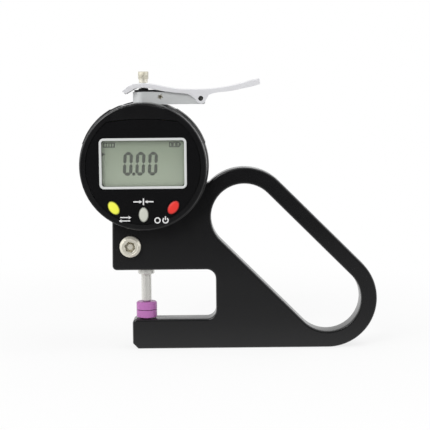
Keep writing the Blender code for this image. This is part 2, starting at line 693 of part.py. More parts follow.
def make_body_shell():
    """The head's middle ring with a ledge for the board, two bosses and four screw posts."""
    outer = HEAD_RADIUS
    inner = BODY_INNER_RADIUS
    ledge = inner - LEDGE_WIDTH
    edge = BODY_EDGE
    shell = turned("body_shell", [
        (outer - edge, BODY_FRONT), (outer, BODY_FRONT - edge),
        (outer, BODY_REAR + edge), (outer - edge, BODY_REAR),
        (inner, BODY_REAR), (inner, LEDGE_FRONT - LEDGE_THICKNESS),
        (ledge, LEDGE_FRONT - LEDGE_THICKNESS), (ledge, LEDGE_FRONT),
        (inner, LEDGE_FRONT), (inner, BODY_FRONT),
    ], "black_plastic", (0, 0, HEAD_Z), FACING_FRONT, SIDES_HEAD, closed=True)
    boss_depth = STEM_DIAMETER / 2 + FIT_GAP + BOSS_SIDE_WALL
    boss_front = -min(boss_depth, LEDGE_FRONT - FIT_GAP)
    wall_middle = BODY_WALL / 2
    lower_boss = box(
        "lower_boss", (-BOSS_HALF_WIDTH, boss_front, HEAD_Z - HEAD_RADIUS + wall_middle),
        (BOSS_HALF_WIDTH, boss_depth, HEAD_Z - inner + LOWER_BOSS_LENGTH))
    upper_boss = box(
        "upper_boss", (-BOSS_HALF_WIDTH, boss_front, LAND_Z - UPPER_BOSS_LENGTH),
        (BOSS_HALF_WIDTH, boss_depth, HEAD_Z + HEAD_RADIUS - wall_middle))
    posts = []
    for number, at in enumerate(post_places(), start=1):
        posts.append(rod(
            f"post_{number}", POST_RADIUS, BODY_REAR, LEDGE_FRONT - LEDGE_THICKNESS + EDGE_BREAK,
            at=at, turn=FACING_FRONT))
    join(shell, lower_boss, upper_boss, *posts)
    pocket_front = BODY_FRONT - RIM_COVER_MARGIN
    pocket_rear = BODY_REAR + RIM_COVER_MARGIN
    pocket = rim_cover_outline(inner + RIM_COVER_FLOOR, outer + OVERRUN, SEAT_GAP)
    pin_hole = PIN_DIAMETER / 2 + FIT_GAP
    pin_bottom, pin_top = pin_ends(PIN_HOLE_INSET)
    cut(
        shell,
        box("bracket_land", (-outer, -outer, LAND_Z), (outer, outer, HEAD_Z + outer + OVERRUN)),
        rod("stem_hole", STEM_DIAMETER / 2 + FIT_GAP, BODY_UNDERSIDE - OVERRUN, STEM_TOP + SEAT_GAP,
            sides=SIDES_ROUND),
        rod("spindle_way", SPINDLE_DIAMETER / 2 + SEAT_GAP, STEM_TOP - OVERRUN,
            HEAD_Z - inner + LOWER_BOSS_LENGTH + OVERRUN),
        rod("upper_stem_hole", UPPER_STEM_DIAMETER / 2 + FIT_GAP, LAND_Z - UPPER_BOSS_LENGTH - OVERRUN,
            LAND_Z + OVERRUN, sides=SIDES_ROUND),
        rod("guide_pin_hole", pin_hole, pin_bottom, pin_top, at=(PIN_ACROSS, 0), sides=SIDES_SMALL),
        plate("rim_pocket_right", [pocket], pocket_front, pocket_rear, at=(0, HEAD_Z)),
        plate("rim_pocket_left", [mirrored(pocket)], pocket_front, pocket_rear, at=(0, HEAD_Z)),
    )
    for number, at in enumerate(post_places(), start=1):
        cut(shell, rod(
            f"post_hole_{number}", COVER_SCREW_DIAMETER / 2 + FIT_GAP, BODY_REAR - OVERRUN,
            BODY_REAR - COVER_SETBACK + COVER_SCREW_LENGTH, at=at, turn=FACING_FRONT))


def make_rim_covers():
    """The two covers that snap into the body's rim."""
    floor = BODY_INNER_RADIUS + RIM_COVER_FLOOR
    cover = rim_cover_outline(floor + SEAT_GAP, HEAD_RADIUS + RIM_COVER_PROUD, 0)
    front = BODY_FRONT - RIM_COVER_MARGIN - SEAT_GAP
    rear = BODY_REAR + RIM_COVER_MARGIN + SEAT_GAP
    plate("rim_cover_right", [cover], front, rear, "black_plastic", (0, HEAD_Z))
    plate("rim_cover_left", [mirrored(cover)], front, rear, "black_plastic", (0, HEAD_Z))


def bezel_side():
    """The bezel's outer side from the face's rim down to its rear edge."""
    corner = BEZEL_CORNER
    rim = arc((BEZEL_FACE_RADIUS, BEZEL_FRONT - corner), corner, math.pi / 2, 0, ROUNDING_STEP)
    return rim + [(BEZEL_RIM_RADIUS, BEZEL_REAR)]


def arch_side(grow):
    """The height and half-width at which the arch meets the circle, and the arch's radius and drop."""
    radius = LABEL_RADIUS + grow
    arch = ARCH_RADIUS + grow
    drop = ARCH_RADIUS - ARCH_TOP
    height = (arch ** 2 - radius ** 2 - drop ** 2) / (2 * drop)
    return height, math.sqrt(radius ** 2 - height ** 2), arch, drop


def label_outline(grow=0):
    """The face plate's edge: a circle cut off by a shallow arch, grown by a margin."""
    height, across, arch, drop = arch_side(grow)
    start = math.atan2(height, -across)
    end = math.atan2(height, across) + 2 * math.pi
    points = arc((0, 0), LABEL_RADIUS + grow, start, end)
    spread = math.asin(across / arch)
    steps = 8
    for i in range(1, steps):
        angle = math.pi / 2 - spread + 2 * spread * i / steps
        points.append((arch * math.cos(angle), arch * math.sin(angle) - drop))
    return points


def drawer_outline(grow=0):
    """The drawer's front seen from the reader: the arch below, straight sides and open above."""
    half = DRAWER_HALF_WIDTH + grow
    arch = ARCH_RADIUS + SEAT_GAP - grow
    drop = ARCH_RADIUS - ARCH_TOP
    spread = math.asin(half / arch)
    steps = 8
    points = []
    for i in range(steps + 1):
        angle = math.pi / 2 + spread - 2 * spread * i / steps
        points.append((arch * math.cos(angle), arch * math.sin(angle) - drop))
    top = BEZEL_RIM_RADIUS + OVERRUN + grow
    return points + [(half, top), (-half, top)]


def button_places():
    """Each button's name, finish, place across and up from the head's axis, and tilt."""
    radius = LABEL_RADIUS - BUTTON_INSET
    across = radius * math.sin(BUTTON_SWING)
    drop = radius * math.cos(BUTTON_SWING)
    return (
        ("yellow_button", "yellow_rubber", -across, -drop, BUTTON_TILT),
        ("grey_button", "grey_rubber", 0, MIDDLE_BUTTON_INSET - LABEL_RADIUS, 0),
        ("red_button", "red_rubber", across, -drop, -BUTTON_TILT),
    )


def button_holes(grow):
    """The three oval holes, grown round the buttons by a margin."""
    length = BUTTON_LENGTH / 2 + grow
    share = (BUTTON_WIDTH / 2 + grow) / length
    return [
        ring(length, SIDES_SMALL, share, tilt, (across, up))
        for name, finish, across, up, tilt in button_places()]


def window_outline(inset):
    """The window's rounded rectangle, drawn in from the trim's outer edge."""
    return rounded_rectangle(
        WINDOW_WIDTH - 2 * inset, WINDOW_HEIGHT - 2 * inset, WINDOW_CORNER - inset / 2,
        (0, WINDOW_Z - HEAD_Z))


def make_bezel():
    """The front cup: a wall with a recess for the face plate, a rim, and openings."""
    inner = BEZEL_INNER_RADIUS
    spigot = BODY_INNER_RADIUS - SEAT_GAP
    profile = [(0, BEZEL_FRONT)] + bezel_side() + [
        (spigot, BEZEL_REAR), (spigot, BEZEL_REAR - BEZEL_SPIGOT_LENGTH),
        (inner, BEZEL_REAR - BEZEL_SPIGOT_LENGTH), (inner, BEZEL_WALL_REAR), (0, BEZEL_WALL_REAR)]
    bezel = turned("front_bezel", profile, "black_plastic", (0, 0, HEAD_Z), FACING_FRONT, SIDES_HEAD)
    tray_half = TRAY_HALF_WIDTH + SEAT_GAP
    at = (0, HEAD_Z)
    out = BEZEL_FRONT + OVERRUN
    cut(
        bezel,
        plate("label_recess", [label_outline(SEAT_GAP)], out, RECESS_FLOOR, at=at),
        plate("window_opening", [window_outline(TRIM_BORDER)], out, BEZEL_WALL_REAR - OVERRUN, at=at),
        plate("drawer_opening", [drawer_outline(SEAT_GAP)], out, BEZEL_REAR - EDGE_BREAK / 2, at=at),
        box("tray_slot", (-tray_half, -RECESS_FLOOR - FIT_GAP, TRAY_BOTTOM - SEAT_GAP),
            (tray_half, -BEZEL_REAR - EDGE_BREAK / 2, HEAD_Z + ARCH_TOP + OVERRUN)),
    )
    for number, hole in enumerate(button_holes(SEAT_GAP), start=1):
        cut(bezel, plate(f"button_hole_{number}", [hole], out, BEZEL_WALL_REAR - OVERRUN, at=at))


def make_face_plate():
    """The thin glossy plate with openings for the window trim and the buttons."""
    plate("face_plate", [label_outline(), window_outline(-SEAT_GAP)] + button_holes(SEAT_GAP),
          BEZEL_FRONT, BEZEL_FRONT - LABEL_THICKNESS, "gloss_label", (0, HEAD_Z))


def make_display():
    """Trim, lens, liquid crystal panel and the two strips that connect it to the board."""
    at = (0, HEAD_Z)
    trim_rear = RECESS_FLOOR + SEAT_GAP
    plate("window_trim", [window_outline(0), window_outline(TRIM_BORDER)],
          trim_rear + TRIM_THICKNESS, trim_rear, "white_plastic", at)
    lens_front = BEZEL_FRONT - LENS_SETBACK
    plate("display_window", [window_outline(TRIM_BORDER + SEAT_GAP)],
          lens_front, lens_front - LENS_THICKNESS, "clear_lens", at)
    half_width = WINDOW_WIDTH / 2 - LCD_MARGIN
    half_height = WINDOW_HEIGHT / 2 - LCD_MARGIN
    box("lcd_panel", (-half_width, -LCD_FRONT, WINDOW_Z - half_height),
        (half_width, -LCD_REAR, WINDOW_Z + half_height), "lcd_glass")
    strip_half = half_width - CONNECTOR_INSET
    front = LCD_REAR - SEAT_GAP
    rear = BOARD_FRONT + SEAT_GAP
    for name, side in (("lcd_connector_upper", 1), ("lcd_connector_lower", -1)):
        middle = WINDOW_Z + side * (half_height - CONNECTOR_INSET)
        box(name, (-strip_half, -front, middle - CONNECTOR_WIDTH / 2),
            (strip_half, -rear, middle + CONNECTOR_WIDTH / 2), "silicone")


def make_buttons():
    """Three oval buttons with a flange behind the bezel wall, over one rubber pad."""
    short = BUTTON_WIDTH / 2
    top = BEZEL_FRONT + BUTTON_PROUD
    rounding = BUTTON_ROUNDING
    profile = [(0, top)]
    profile += arc((short - rounding, top - rounding), rounding, math.pi / 2, 0, ROUNDING_STEP)
    profile += [
        (short, FLANGE_FRONT), (short + BUTTON_FLANGE, FLANGE_FRONT),
        (short + BUTTON_FLANGE, FLANGE_REAR), (0, FLANGE_REAR)]
    for name, finish, across, up, tilt in button_places():
        mesh = turned_mesh(name, profile, SIDES_SMALL)
        for vertex in mesh.vertices:
            x = vertex.co.x
            y = vertex.co.y * BUTTON_LENGTH / BUTTON_WIDTH
            vertex.co.x = x * math.cos(tilt) - y * math.sin(tilt)
            vertex.co.y = x * math.sin(tilt) + y * math.cos(tilt)
        place(name, mesh, finish, (across, 0, HEAD_Z + up), FACING_FRONT)
    down = -math.pi / 2
    outer = BEZEL_INNER_RADIUS - PAD_INSET
    outline = arc((0, 0), outer, down - PAD_HALF_ANGLE, down + PAD_HALF_ANGLE)
    outline += arc((0, 0), outer - PAD_WIDTH, down + PAD_HALF_ANGLE, down - PAD_HALF_ANGLE)
    plate("button_pad", [outline], FLANGE_REAR - BUTTON_TRAVEL - SEAT_GAP, BOARD_FRONT + SEAT_GAP,
          "silicone", (0, HEAD_Z))


def make_board():
    """The round main board and its controller chip."""
    rod("main_board", BODY_INNER_RADIUS - BOARD_CLEARANCE, BOARD_REAR, BOARD_FRONT, "board_green",
        at=(0, HEAD_Z), turn=FACING_FRONT, sides=SIDES_HEAD)
    front = BOARD_REAR - SEAT_GAP
    middle = HEAD_Z - CHIP_DROP
    box("controller_chip", (CHIP_ACROSS - CHIP_SIZE / 2, -front, middle - CHIP_SIZE / 2),
        (CHIP_ACROSS + CHIP_SIZE / 2, -front + CHIP_THICKNESS, middle + CHIP_SIZE / 2), "chip_black")


def make_battery_drawer():
    """The drawer with its grip ribs, the cell in its tray, and the two contacts behind it."""
    runner = empty("drawer_runner", (0, 0, HEAD_Z))
    profile = [(0, BEZEL_FRONT)] + bezel_side()[:-1] + [(BEZEL_RIM_RADIUS, DRAWER_REAR), (0, DRAWER_REAR)]
    drawer = turned(
        "battery_drawer", profile, "black_plastic", (0, 0, HEAD_Z), FACING_FRONT, SIDES_HEAD, parent=runner)
    at = (0, HEAD_Z)
    combine(drawer, plate("drawer_front", [drawer_outline()], BEZEL_FRONT + OVERRUN, DRAWER_REAR - OVERRUN,
                          at=at), "INTERSECT")
    join(drawer, box("tray", (-TRAY_HALF_WIDTH, -TRAY_FRONT, TRAY_BOTTOM),
                     (TRAY_HALF_WIDTH, -TRAY_REAR, HEAD_Z + ARCH_TOP + OVERRUN)))
    pocket_radius = CELL_DIAMETER / 2 + SEAT_GAP
    cell_front = TRAY_REAR + SEAT_GAP + CELL_THICKNESS
    cut(drawer, rod("cell_pocket", pocket_radius, DRAWER_REAR - OVERRUN, cell_front + FIT_GAP,
                    at=(0, CELL_Z), turn=FACING_FRONT, sides=SIDES_ROUND))
    for number in range(GRIP_RIB_COUNT):
        share = number / (GRIP_RIB_COUNT - 1)
        angle = math.pi / 2 - GRIP_HALF_ANGLE + 2 * GRIP_HALF_ANGLE * share
        cut(drawer, grip_groove(f"grip_groove_{number + 1}", angle))
    cell = CELL_DIAMETER / 2
    turned("battery_cell", [
        (0, CELL_THICKNESS), (cell - CELL_SHOULDER, CELL_THICKNESS),
        (cell, CELL_THICKNESS - CELL_SHOULDER), (cell, 0), (0, 0),
    ], "steel", (0, -(cell_front - CELL_THICKNESS), CELL_Z), FACING_FRONT, parent=runner)
    front = BOARD_FRONT + SEAT_GAP + BATTERY_CONTACT_THICKNESS
    for name, across in (("battery_contact_centre", 0), ("battery_contact_edge", BATTERY_CONTACT_SPACING)):
        box(name, (across - BATTERY_CONTACT_WIDTH / 2, -front, CELL_Z - BATTERY_CONTACT_LENGTH / 2),
            (across + BATTERY_CONTACT_WIDTH / 2, -front + BATTERY_CONTACT_THICKNESS,
             CELL_Z + BATTERY_CONTACT_LENGTH / 2), "brass")


def grip_groove(name, angle):
    """One short groove across the drawer's top front edge."""
    outer = BEZEL_RIM_RADIUS + OVERRUN
    inner = BEZEL_RIM_RADIUS - GRIP_GROOVE_DEPTH
    half = GRIP_GROOVE_WIDTH / 2
    outline = []
    for radius, side in ((outer, -half), (outer, half), (inner, half), (inner, -half)):
        outline.append((
            radius * math.cos(angle) - side * math.sin(angle),
            radius * math.sin(angle) + side * math.cos(angle)))
    return plate(name, [outline], BEZEL_FRONT + OVERRUN, BEZEL_FRONT - GRIP_GROOVE_LENGTH, at=(0, HEAD_Z))


def make_rear_cover():
    """The flat back of the head and its four screws."""
    front = BODY_REAR - SEAT_GAP
    rear = front - COVER_THICKNESS
    radius = HEAD_RADIUS - COVER_SETBACK
    cover = turned("rear_cover", [
        (0, front), (radius, front), (radius, rear + COVER_EDGE), (radius - COVER_EDGE, rear), (0, rear),
    ], "black_plastic", (0, 0, HEAD_Z), FACING_FRONT, SIDES_HEAD)
    head = COVER_SCREW_HEAD_DIAMETER / 2
    shank = COVER_SCREW_DIAMETER / 2
    seat = rear + COVER_SCREW_HEAD_HEIGHT
    for number, at in enumerate(post_places(), start=1):
        cut(cover, rod(f"cover_hole_{number}", shank + FIT_GAP, rear - OVERRUN, front + OVERRUN,
                       at=at, turn=FACING_FRONT))
        cut(cover, rod(f"cover_recess_{number}", head + FIT_GAP, rear - OVERRUN, seat + SEAT_GAP,
                       at=at, turn=FACING_FRONT))
        screw = turned(f"rear_cover_screw_{number}", [
            (0, seat - COVER_SCREW_HEAD_HEIGHT + COVER_SCREW_LENGTH),
            (shank, seat - COVER_SCREW_HEAD_HEIGHT + COVER_SCREW_LENGTH),
            (shank, seat), (head, seat), (head, rear + EDGE_BREAK), (head - EDGE_BREAK, rear), (0, rear),
        ], "steel", (at[0], 0, at[1]), FACING_FRONT, SIDES_SMALL)
        slot = COVER_SCREW_SLOT_LENGTH / 2
        narrow = COVER_SCREW_SLOT_WIDTH / 2
        deep = -rear - COVER_SCREW_SLOT_DEPTH
        cut(
            screw,
            box(f"screw_slot_{number}", (at[0] - slot, deep, at[1] - narrow),
                (at[0] + slot, -rear + OVERRUN, at[1] + narrow)),
            box(f"screw_cross_{number}", (at[0] - narrow, deep, at[1] - slot),
                (at[0] + narrow, -rear + OVERRUN, at[1] + slot)),
        )


def make_stem():
    """The clamped stem with a bush pressed in its lower end."""
    outer = STEM_DIAMETER / 2
    bore = SPINDLE_DIAMETER / 2 + SEAT_GAP
    bush_bore = SPINDLE_DIAMETER / 2 + FIT_GAP
    bush_outer = bush_bore + STEM_BUSH_WALL
    seat = bush_outer + FIT_GAP
    length = STEM_TOP - STEM_BOTTOM
    counterbore = STEM_BUSH_INSET + STEM_BUSH_LENGTH + SEAT_GAP
    turned("stem", [
        (outer - EDGE_BREAK, length), (outer, length - EDGE_BREAK),
        (outer, EDGE_BREAK), (outer - EDGE_BREAK, 0),
        (seat, 0), (seat, counterbore), (bore, counterbore), (bore, length),
    ], "steel", (0, 0, STEM_BOTTOM), closed=True)
    turned("stem_bush", [
        (bush_outer, STEM_BUSH_LENGTH), (bush_outer, 0), (bush_bore, 0), (bush_bore, STEM_BUSH_LENGTH),
    ], "brass", (0, 0, STEM_BOTTOM + STEM_BUSH_INSET), closed=True)


def make_upper_stem():
    """The tube that carries the lever bracket, with a black bush for the spindle's thin end."""
    outer = UPPER_STEM_DIAMETER / 2
    bush_outer = UPPER_BUSH_DIAMETER / 2
    bush_bore = SPINDLE_THIN_DIAMETER / 2 + FIT_GAP
    length = UPPER_STEM_TOP - UPPER_STEM_BOTTOM
    turned("upper_stem", [
        (outer - EDGE_BREAK, length), (outer, length - EDGE_BREAK), (outer, 0),
        (bush_outer + FIT_GAP, 0), (bush_outer + FIT_GAP, length),
    ], "steel", (0, 0, UPPER_STEM_BOTTOM), sides=SIDES_ROUND, closed=True)
    bush_length = length + UPPER_BUSH_PROTRUSION
    turned("upper_bush", [
        (bush_outer - EDGE_BREAK, bush_length), (bush_outer, bush_length - EDGE_BREAK),
        (bush_outer, 0), (bush_bore, 0), (bush_bore, bush_length),
    ], "black_plastic", (0, 0, UPPER_STEM_BOTTOM), sides=SIDES_SMALL, closed=True)


def make_spindle(carrier):
    """The measuring spindle, its contact, and the knurled knob on top."""
    thick = SPINDLE_DIAMETER / 2
    thin = SPINDLE_THIN_DIAMETER / 2
    stud = STUD_DIAMETER / 2
    knob_seat = KNOB_SKIRT_HEIGHT + KNOB_GRIP_HEIGHT - KNOB_CROWN
    length = KNOB_BOTTOM + knob_seat - SEAT_GAP - SPINDLE_BOTTOM
    shoulder = BLOCK_TOP - SPINDLE_BOTTOM
    bore_top = STUD_LENGTH - STUD_SEAT
    turned("spindle", [
        (0, length), (thin, length), (thin, shoulder), (thick, shoulder),
        (thick, EDGE_BREAK), (thick - EDGE_BREAK, 0),
        (stud + FIT_GAP, 0), (stud + FIT_GAP, bore_top), (0, bore_top),
    ], "steel", (0, 0, SPINDLE_BOTTOM), sides=SIDES_ROUND, parent=carrier)
    turned("contact_stud", [
        (0, STUD_LENGTH), (stud, STUD_LENGTH), (stud, 0), (0, 0),
    ], "steel", (0, 0, SPINDLE_BOTTOM - STUD_SEAT - SEAT_GAP), sides=SIDES_SMALL, parent=carrier)
    radius = CONTACT_DIAMETER / 2
    seat = CONTACT_THICKNESS - STUD_SEAT
    turned("contact_disc", [
        (0, seat - SEAT_GAP), (stud + FIT_GAP, seat - SEAT_GAP), (stud + FIT_GAP, CONTACT_THICKNESS),
        (radius - CONTACT_CHAMFER, CONTACT_THICKNESS), (radius, CONTACT_THICKNESS - CONTACT_CHAMFER),
        (radius, ANVIL_CHAMFER), (radius - ANVIL_CHAMFER, 0), (0, 0),
    ], "purple_ceramic", (0, 0, CONTACT_BOTTOM), parent=carrier)
    make_knob(carrier, knob_seat)


def make_knob(carrier, bore_depth):
    """The knob: a knurled grip over a plain skirt, with a blind hole for the spindle's thin end."""
    grip = KNOB_DIAMETER / 2
    skirt = KNOB_SKIRT_DIAMETER / 2
    bore = SPINDLE_THIN_DIAMETER / 2 + FIT_GAP
    top = KNOB_SKIRT_HEIGHT + KNOB_GRIP_HEIGHT
    mesh = turned_mesh("spindle_knob", [
        (0, top), (grip - EDGE_BREAK, top), (grip, top - EDGE_BREAK),
        (grip, KNOB_SKIRT_HEIGHT + EDGE_BREAK), (grip - EDGE_BREAK, KNOB_SKIRT_HEIGHT),
        (skirt, KNOB_SKIRT_HEIGHT), (skirt, 0), (bore, 0), (bore, bore_depth), (0, bore_depth),
    ], KNOB_SIDES)
    for vertex in mesh.vertices:
        angle = math.atan2(vertex.co.y, vertex.co.x)
        number = round(angle * KNOB_SIDES / (2 * math.pi))
        if number % 2 and math.hypot(vertex.co.x, vertex.co.y) > grip - EDGE_BREAK / 2:
            vertex.co.x *= 1 - KNURL_DEPTH_SHARE
            vertex.co.y *= 1 - KNURL_DEPTH_SHARE
    place("spindle_knob", mesh, "nickel", (0, 0, KNOB_BOTTOM), parent=carrier)


def make_slider(carrier):
    """The block clamped on the spindle, its screw, and the scale plate on its front."""
    ear = PIN_ACROSS + PIN_DIAMETER / 2 + PIN_SLIDE_GAP + BLOCK_EAR
    block = box(
        "slider_block", (-BLOCK_LEFT, -BLOCK_FRONT, BLOCK_BOTTOM), (ear, BLOCK_REAR, BLOCK_TOP),
        "brass", carrier)
    bore = SPINDLE_DIAMETER / 2 + FIT_GAP
    screw_radius = SLIDER_SCREW_DIAMETER / 2
    middle = BLOCK_BOTTOM + BLOCK_HEIGHT / 2
    cut(
        block,
        rod("slider_bore", bore, BLOCK_BOTTOM - OVERRUN, BLOCK_TOP + OVERRUN),
        rod("slider_guide_hole", PIN_DIAMETER / 2 + PIN_SLIDE_GAP, BLOCK_BOTTOM - OVERRUN,
            BLOCK_TOP + OVERRUN, at=(PIN_ACROSS, 0)),
        rod("slider_screw_hole", screw_radius + FIT_GAP, -BLOCK_REAR - OVERRUN, 0,
            at=(0, middle), turn=FACING_FRONT),
    )
    rod("slider_screw", screw_radius, -BLOCK_REAR + FIT_GAP, -SPINDLE_DIAMETER / 2 - SEAT_GAP, "steel",
        at=(0, middle), turn=FACING_FRONT, parent=carrier)
    rear = BLOCK_FRONT + SEAT_GAP
    box("scale_plate", (-SCALE_WIDTH / 2, -rear - SCALE_THICKNESS, SCALE_TOP - SCALE_LENGTH),
        (SCALE_WIDTH / 2, -rear, SCALE_TOP), "board_green", carrier)


def pin_ends(inset):
    """The heights at which the guide pin, or its hole, ends inside the body's wall."""
    bottom = HEAD_Z - math.sqrt(HEAD_RADIUS ** 2 - PIN_ACROSS ** 2)
    return bottom + inset, LAND_Z - inset


def make_guide_pin():
    """The pin that keeps the slider block from turning."""
    bottom, top = pin_ends(PIN_END_INSET)
    rod("guide_pin", PIN_DIAMETER / 2, bottom, top, "steel", at=(PIN_ACROSS, 0))


def make_return_spring():
    """The coil spring between the spindle's shoulder and the upper stem."""
    radius = SPRING_WIRE / 2
    bottom = BLOCK_TOP + SEAT_GAP + radius
    top = UPPER_STEM_BOTTOM - SEAT_GAP - radius
    count = SPRING_TURNS * SPRING_POINTS_PER_TURN
    curve = bpy.data.curves.new("return_spring", "CURVE")
    curve.dimensions = "3D"
    curve.bevel_depth = radius
    curve.bevel_resolution = 1
    curve.use_fill_caps = True
    spline = curve.splines.new("POLY")
    spline.points.add(count)
    for i, point in enumerate(spline.points):
        angle = 2 * math.pi * i / SPRING_POINTS_PER_TURN
        height = (top - bottom) * i / count
        point.co = (SPRING_MEAN_RADIUS * math.cos(angle), SPRING_MEAN_RADIUS * math.sin(angle), height, 1)
    obj = bpy.data.objects.new("return_spring", curve)
    CUTTERS.objects.link(obj)
    mesh = smooth_round(evaluated_mesh(obj))
    bpy.data.curves.remove(curve)
    place("return_spring", mesh, "spring_steel", (0, 0, bottom))


def make_bracket():
    """The clamp block on the upper stem: half-round at its left end, split towards the lever's pin."""
    half = BRACKET_HALF_WIDTH
    right = PIVOT_ACROSS + BRACKET_OVERHANG
    corner = BRACKET_OVERHANG
    top_right = BRACKET_HEIGHT - BRACKET_SLOPE
    plan = [(right + OVERRUN, -half), (right + OVERRUN, half)]
    plan += arc((0, 0), half, math.pi / 2, math.pi * 3 / 2)
    mesh = outline_mesh("lever_bracket", [plan], BRACKET_HEIGHT + 2 * OVERRUN)
    bracket = place("lever_bracket", mesh, "aluminium", (0, 0, BRACKET_BOTTOM + BRACKET_HEIGHT / 2))
    side = [(-half - OVERRUN, 0)]
    side += [(right - EDGE_BREAK, 0), (right, EDGE_BREAK)]
    side += arc((PIVOT_ACROSS, top_right - corner), corner, 0, math.pi / 2)
    side += [(half, BRACKET_HEIGHT), (-half - OVERRUN, BRACKET_HEIGHT)]
    depth = half + OVERRUN
    combine(bracket, plate("bracket_side", [side], depth, -depth, at=(0, BRACKET_BOTTOM)), "INTERSECT")
    slit = BRACKET_SLIT_WIDTH / 2
    above = BRACKET_BOTTOM + BRACKET_HEIGHT + OVERRUN
    screw_radius = BRACKET_SCREW_DIAMETER / 2
    screw_at = (BRACKET_SCREW_ACROSS, BRACKET_BOTTOM + BRACKET_SCREW_RISE)
    cut(
        bracket,
        rod("bracket_bore", UPPER_STEM_DIAMETER / 2 + FIT_GAP, BRACKET_BOTTOM - OVERRUN, above,
            sides=SIDES_ROUND),
        box("bracket_slit", (0, -slit, BRACKET_BOTTOM - OVERRUN), (right + OVERRUN, slit, above)),
        rod("bracket_pin_hole", LEVER_PIN_DIAMETER / 2 + FIT_GAP, -depth, depth,
            at=(PIVOT_ACROSS, PIVOT_Z), turn=FACING_FRONT),
        rod("bracket_screw_hole", screw_radius + FIT_GAP, -depth, depth, at=screw_at, turn=FACING_FRONT),
    )
    front = half - BRACKET_SCREW_RECESS
    screw = rod("bracket_screw", screw_radius, -front, front, "steel", at=screw_at, turn=FACING_FRONT)
    slot = BRACKET_SCREW_SLOT_WIDTH / 2
    cut(screw, box(
        "bracket_screw_slot",
        (screw_at[0] - screw_radius - OVERRUN, -half, screw_at[1] - slot),
        (screw_at[0] + screw_radius + OVERRUN, -front + BRACKET_SCREW_SLOT_DEPTH, screw_at[1] + slot)))


def lever_points(shares, reach, start):
    """Points of the lever's outline from shares of a reach across and of the lever's rise."""
    return [(start + x * reach, y * LEVER_REST_RISE) for x, y in shares]


def make_lever():
    """The lifting lever, bent from sheet, with ears on the pin and a fork round the spindle."""
    carrier = empty("lever_pivot", (PIVOT_ACROSS, 0, PIVOT_Z))
    top = lever_points(FORK_TOP_SHARES, PIVOT_ACROSS, -PIVOT_ACROSS)
    top += lever_points(THUMB_TOP_SHARES, THUMB_REACH, 0)
    outline = list(top)
    outline += lever_points(THUMB_BOTTOM_SHARES, THUMB_REACH, 0)
    outline += arc((0, 0), LEVER_EAR_RADIUS, LEVER_EAR_START, LEVER_EAR_END)
    outline += lever_points(FORK_BOTTOM_SHARES, PIVOT_ACROSS, -PIVOT_ACROSS)
    inner_half = BRACKET_HALF_WIDTH + LEVER_SIDE_GAP
    half = inner_half + LEVER_SHEET
    at = (PIVOT_ACROSS, PIVOT_Z)
    lever = plate("lever", [outline], half, -half, "aluminium", at, parent=carrier)
    left, right = top[0], top[-1]
    inside = [(left[0] - OVERRUN, left[1] - LEVER_SHEET - 2 * OVERRUN)]
    inside += [(x, y - LEVER_SHEET) for x, y in top]
    inside.append((right[0] + OVERRUN, right[1] - LEVER_SHEET))
    inside.append((right[0] + OVERRUN, -LEVER_REST_RISE))
    inside.append((left[0] - OVERRUN, -LEVER_REST_RISE))
    fork = SPINDLE_THIN_DIAMETER / 2 + FORK_GAP
    fork_left = FORK_TOP_SHARES[0][0] * PIVOT_ACROSS - OVERRUN
    cut(
        lever,
        plate("lever_inside", [inside], inner_half, -inner_half, at=at),
        box("fork_slot", (fork_left, -fork, PIVOT_Z), (0, fork, KNOB_BOTTOM + OVERRUN)),
        rod("fork_end", fork, PIVOT_Z, KNOB_BOTTOM + OVERRUN),
        rod("lever_pin_hole", LEVER_PIN_DIAMETER / 2 + FIT_GAP, -half - OVERRUN, half + OVERRUN,
            at=at, turn=FACING_FRONT),
    )
    pin_end = half - LEVER_PIN_RECESS
    rod("lever_pin", LEVER_PIN_DIAMETER / 2, -pin_end, pin_end, "steel", at=at, turn=FACING_FRONT)


clear_scene()
PARTS = make_collection("digital_thickness_gauge")
CUTTERS = make_collection("cutters")


def main():
    """Builds every piece."""
    make_frame()
    make_clamp_screw()
    make_anvil()
    make_body_shell()
    make_rim_covers()
    make_bezel()
    make_face_plate()
    make_display()
    make_buttons()
    make_board()
    make_battery_drawer()
    make_rear_cover()
    make_stem()
    make_upper_stem()
    carrier = empty("spindle_axis", (0, 0, SPINDLE_BOTTOM))
    make_spindle(carrier)
    make_slider(carrier)
    make_guide_pin()
    make_return_spring()
    make_bracket()
    make_lever()


main()
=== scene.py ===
"""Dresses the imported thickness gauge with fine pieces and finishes, and sets its camera and studio.

Lengths are in metres. X points to the right, Y into the picture and Z up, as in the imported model.
A distance forward is measured from the frame's middle plane towards the reader of the display.
"""
import math

import bmesh
import bpy
from bpy.props import FloatProperty, FloatVectorProperty, IntProperty, PointerProperty
from mathutils import Matrix, Quaternion, Vector
from mathutils.kdtree import KDTree


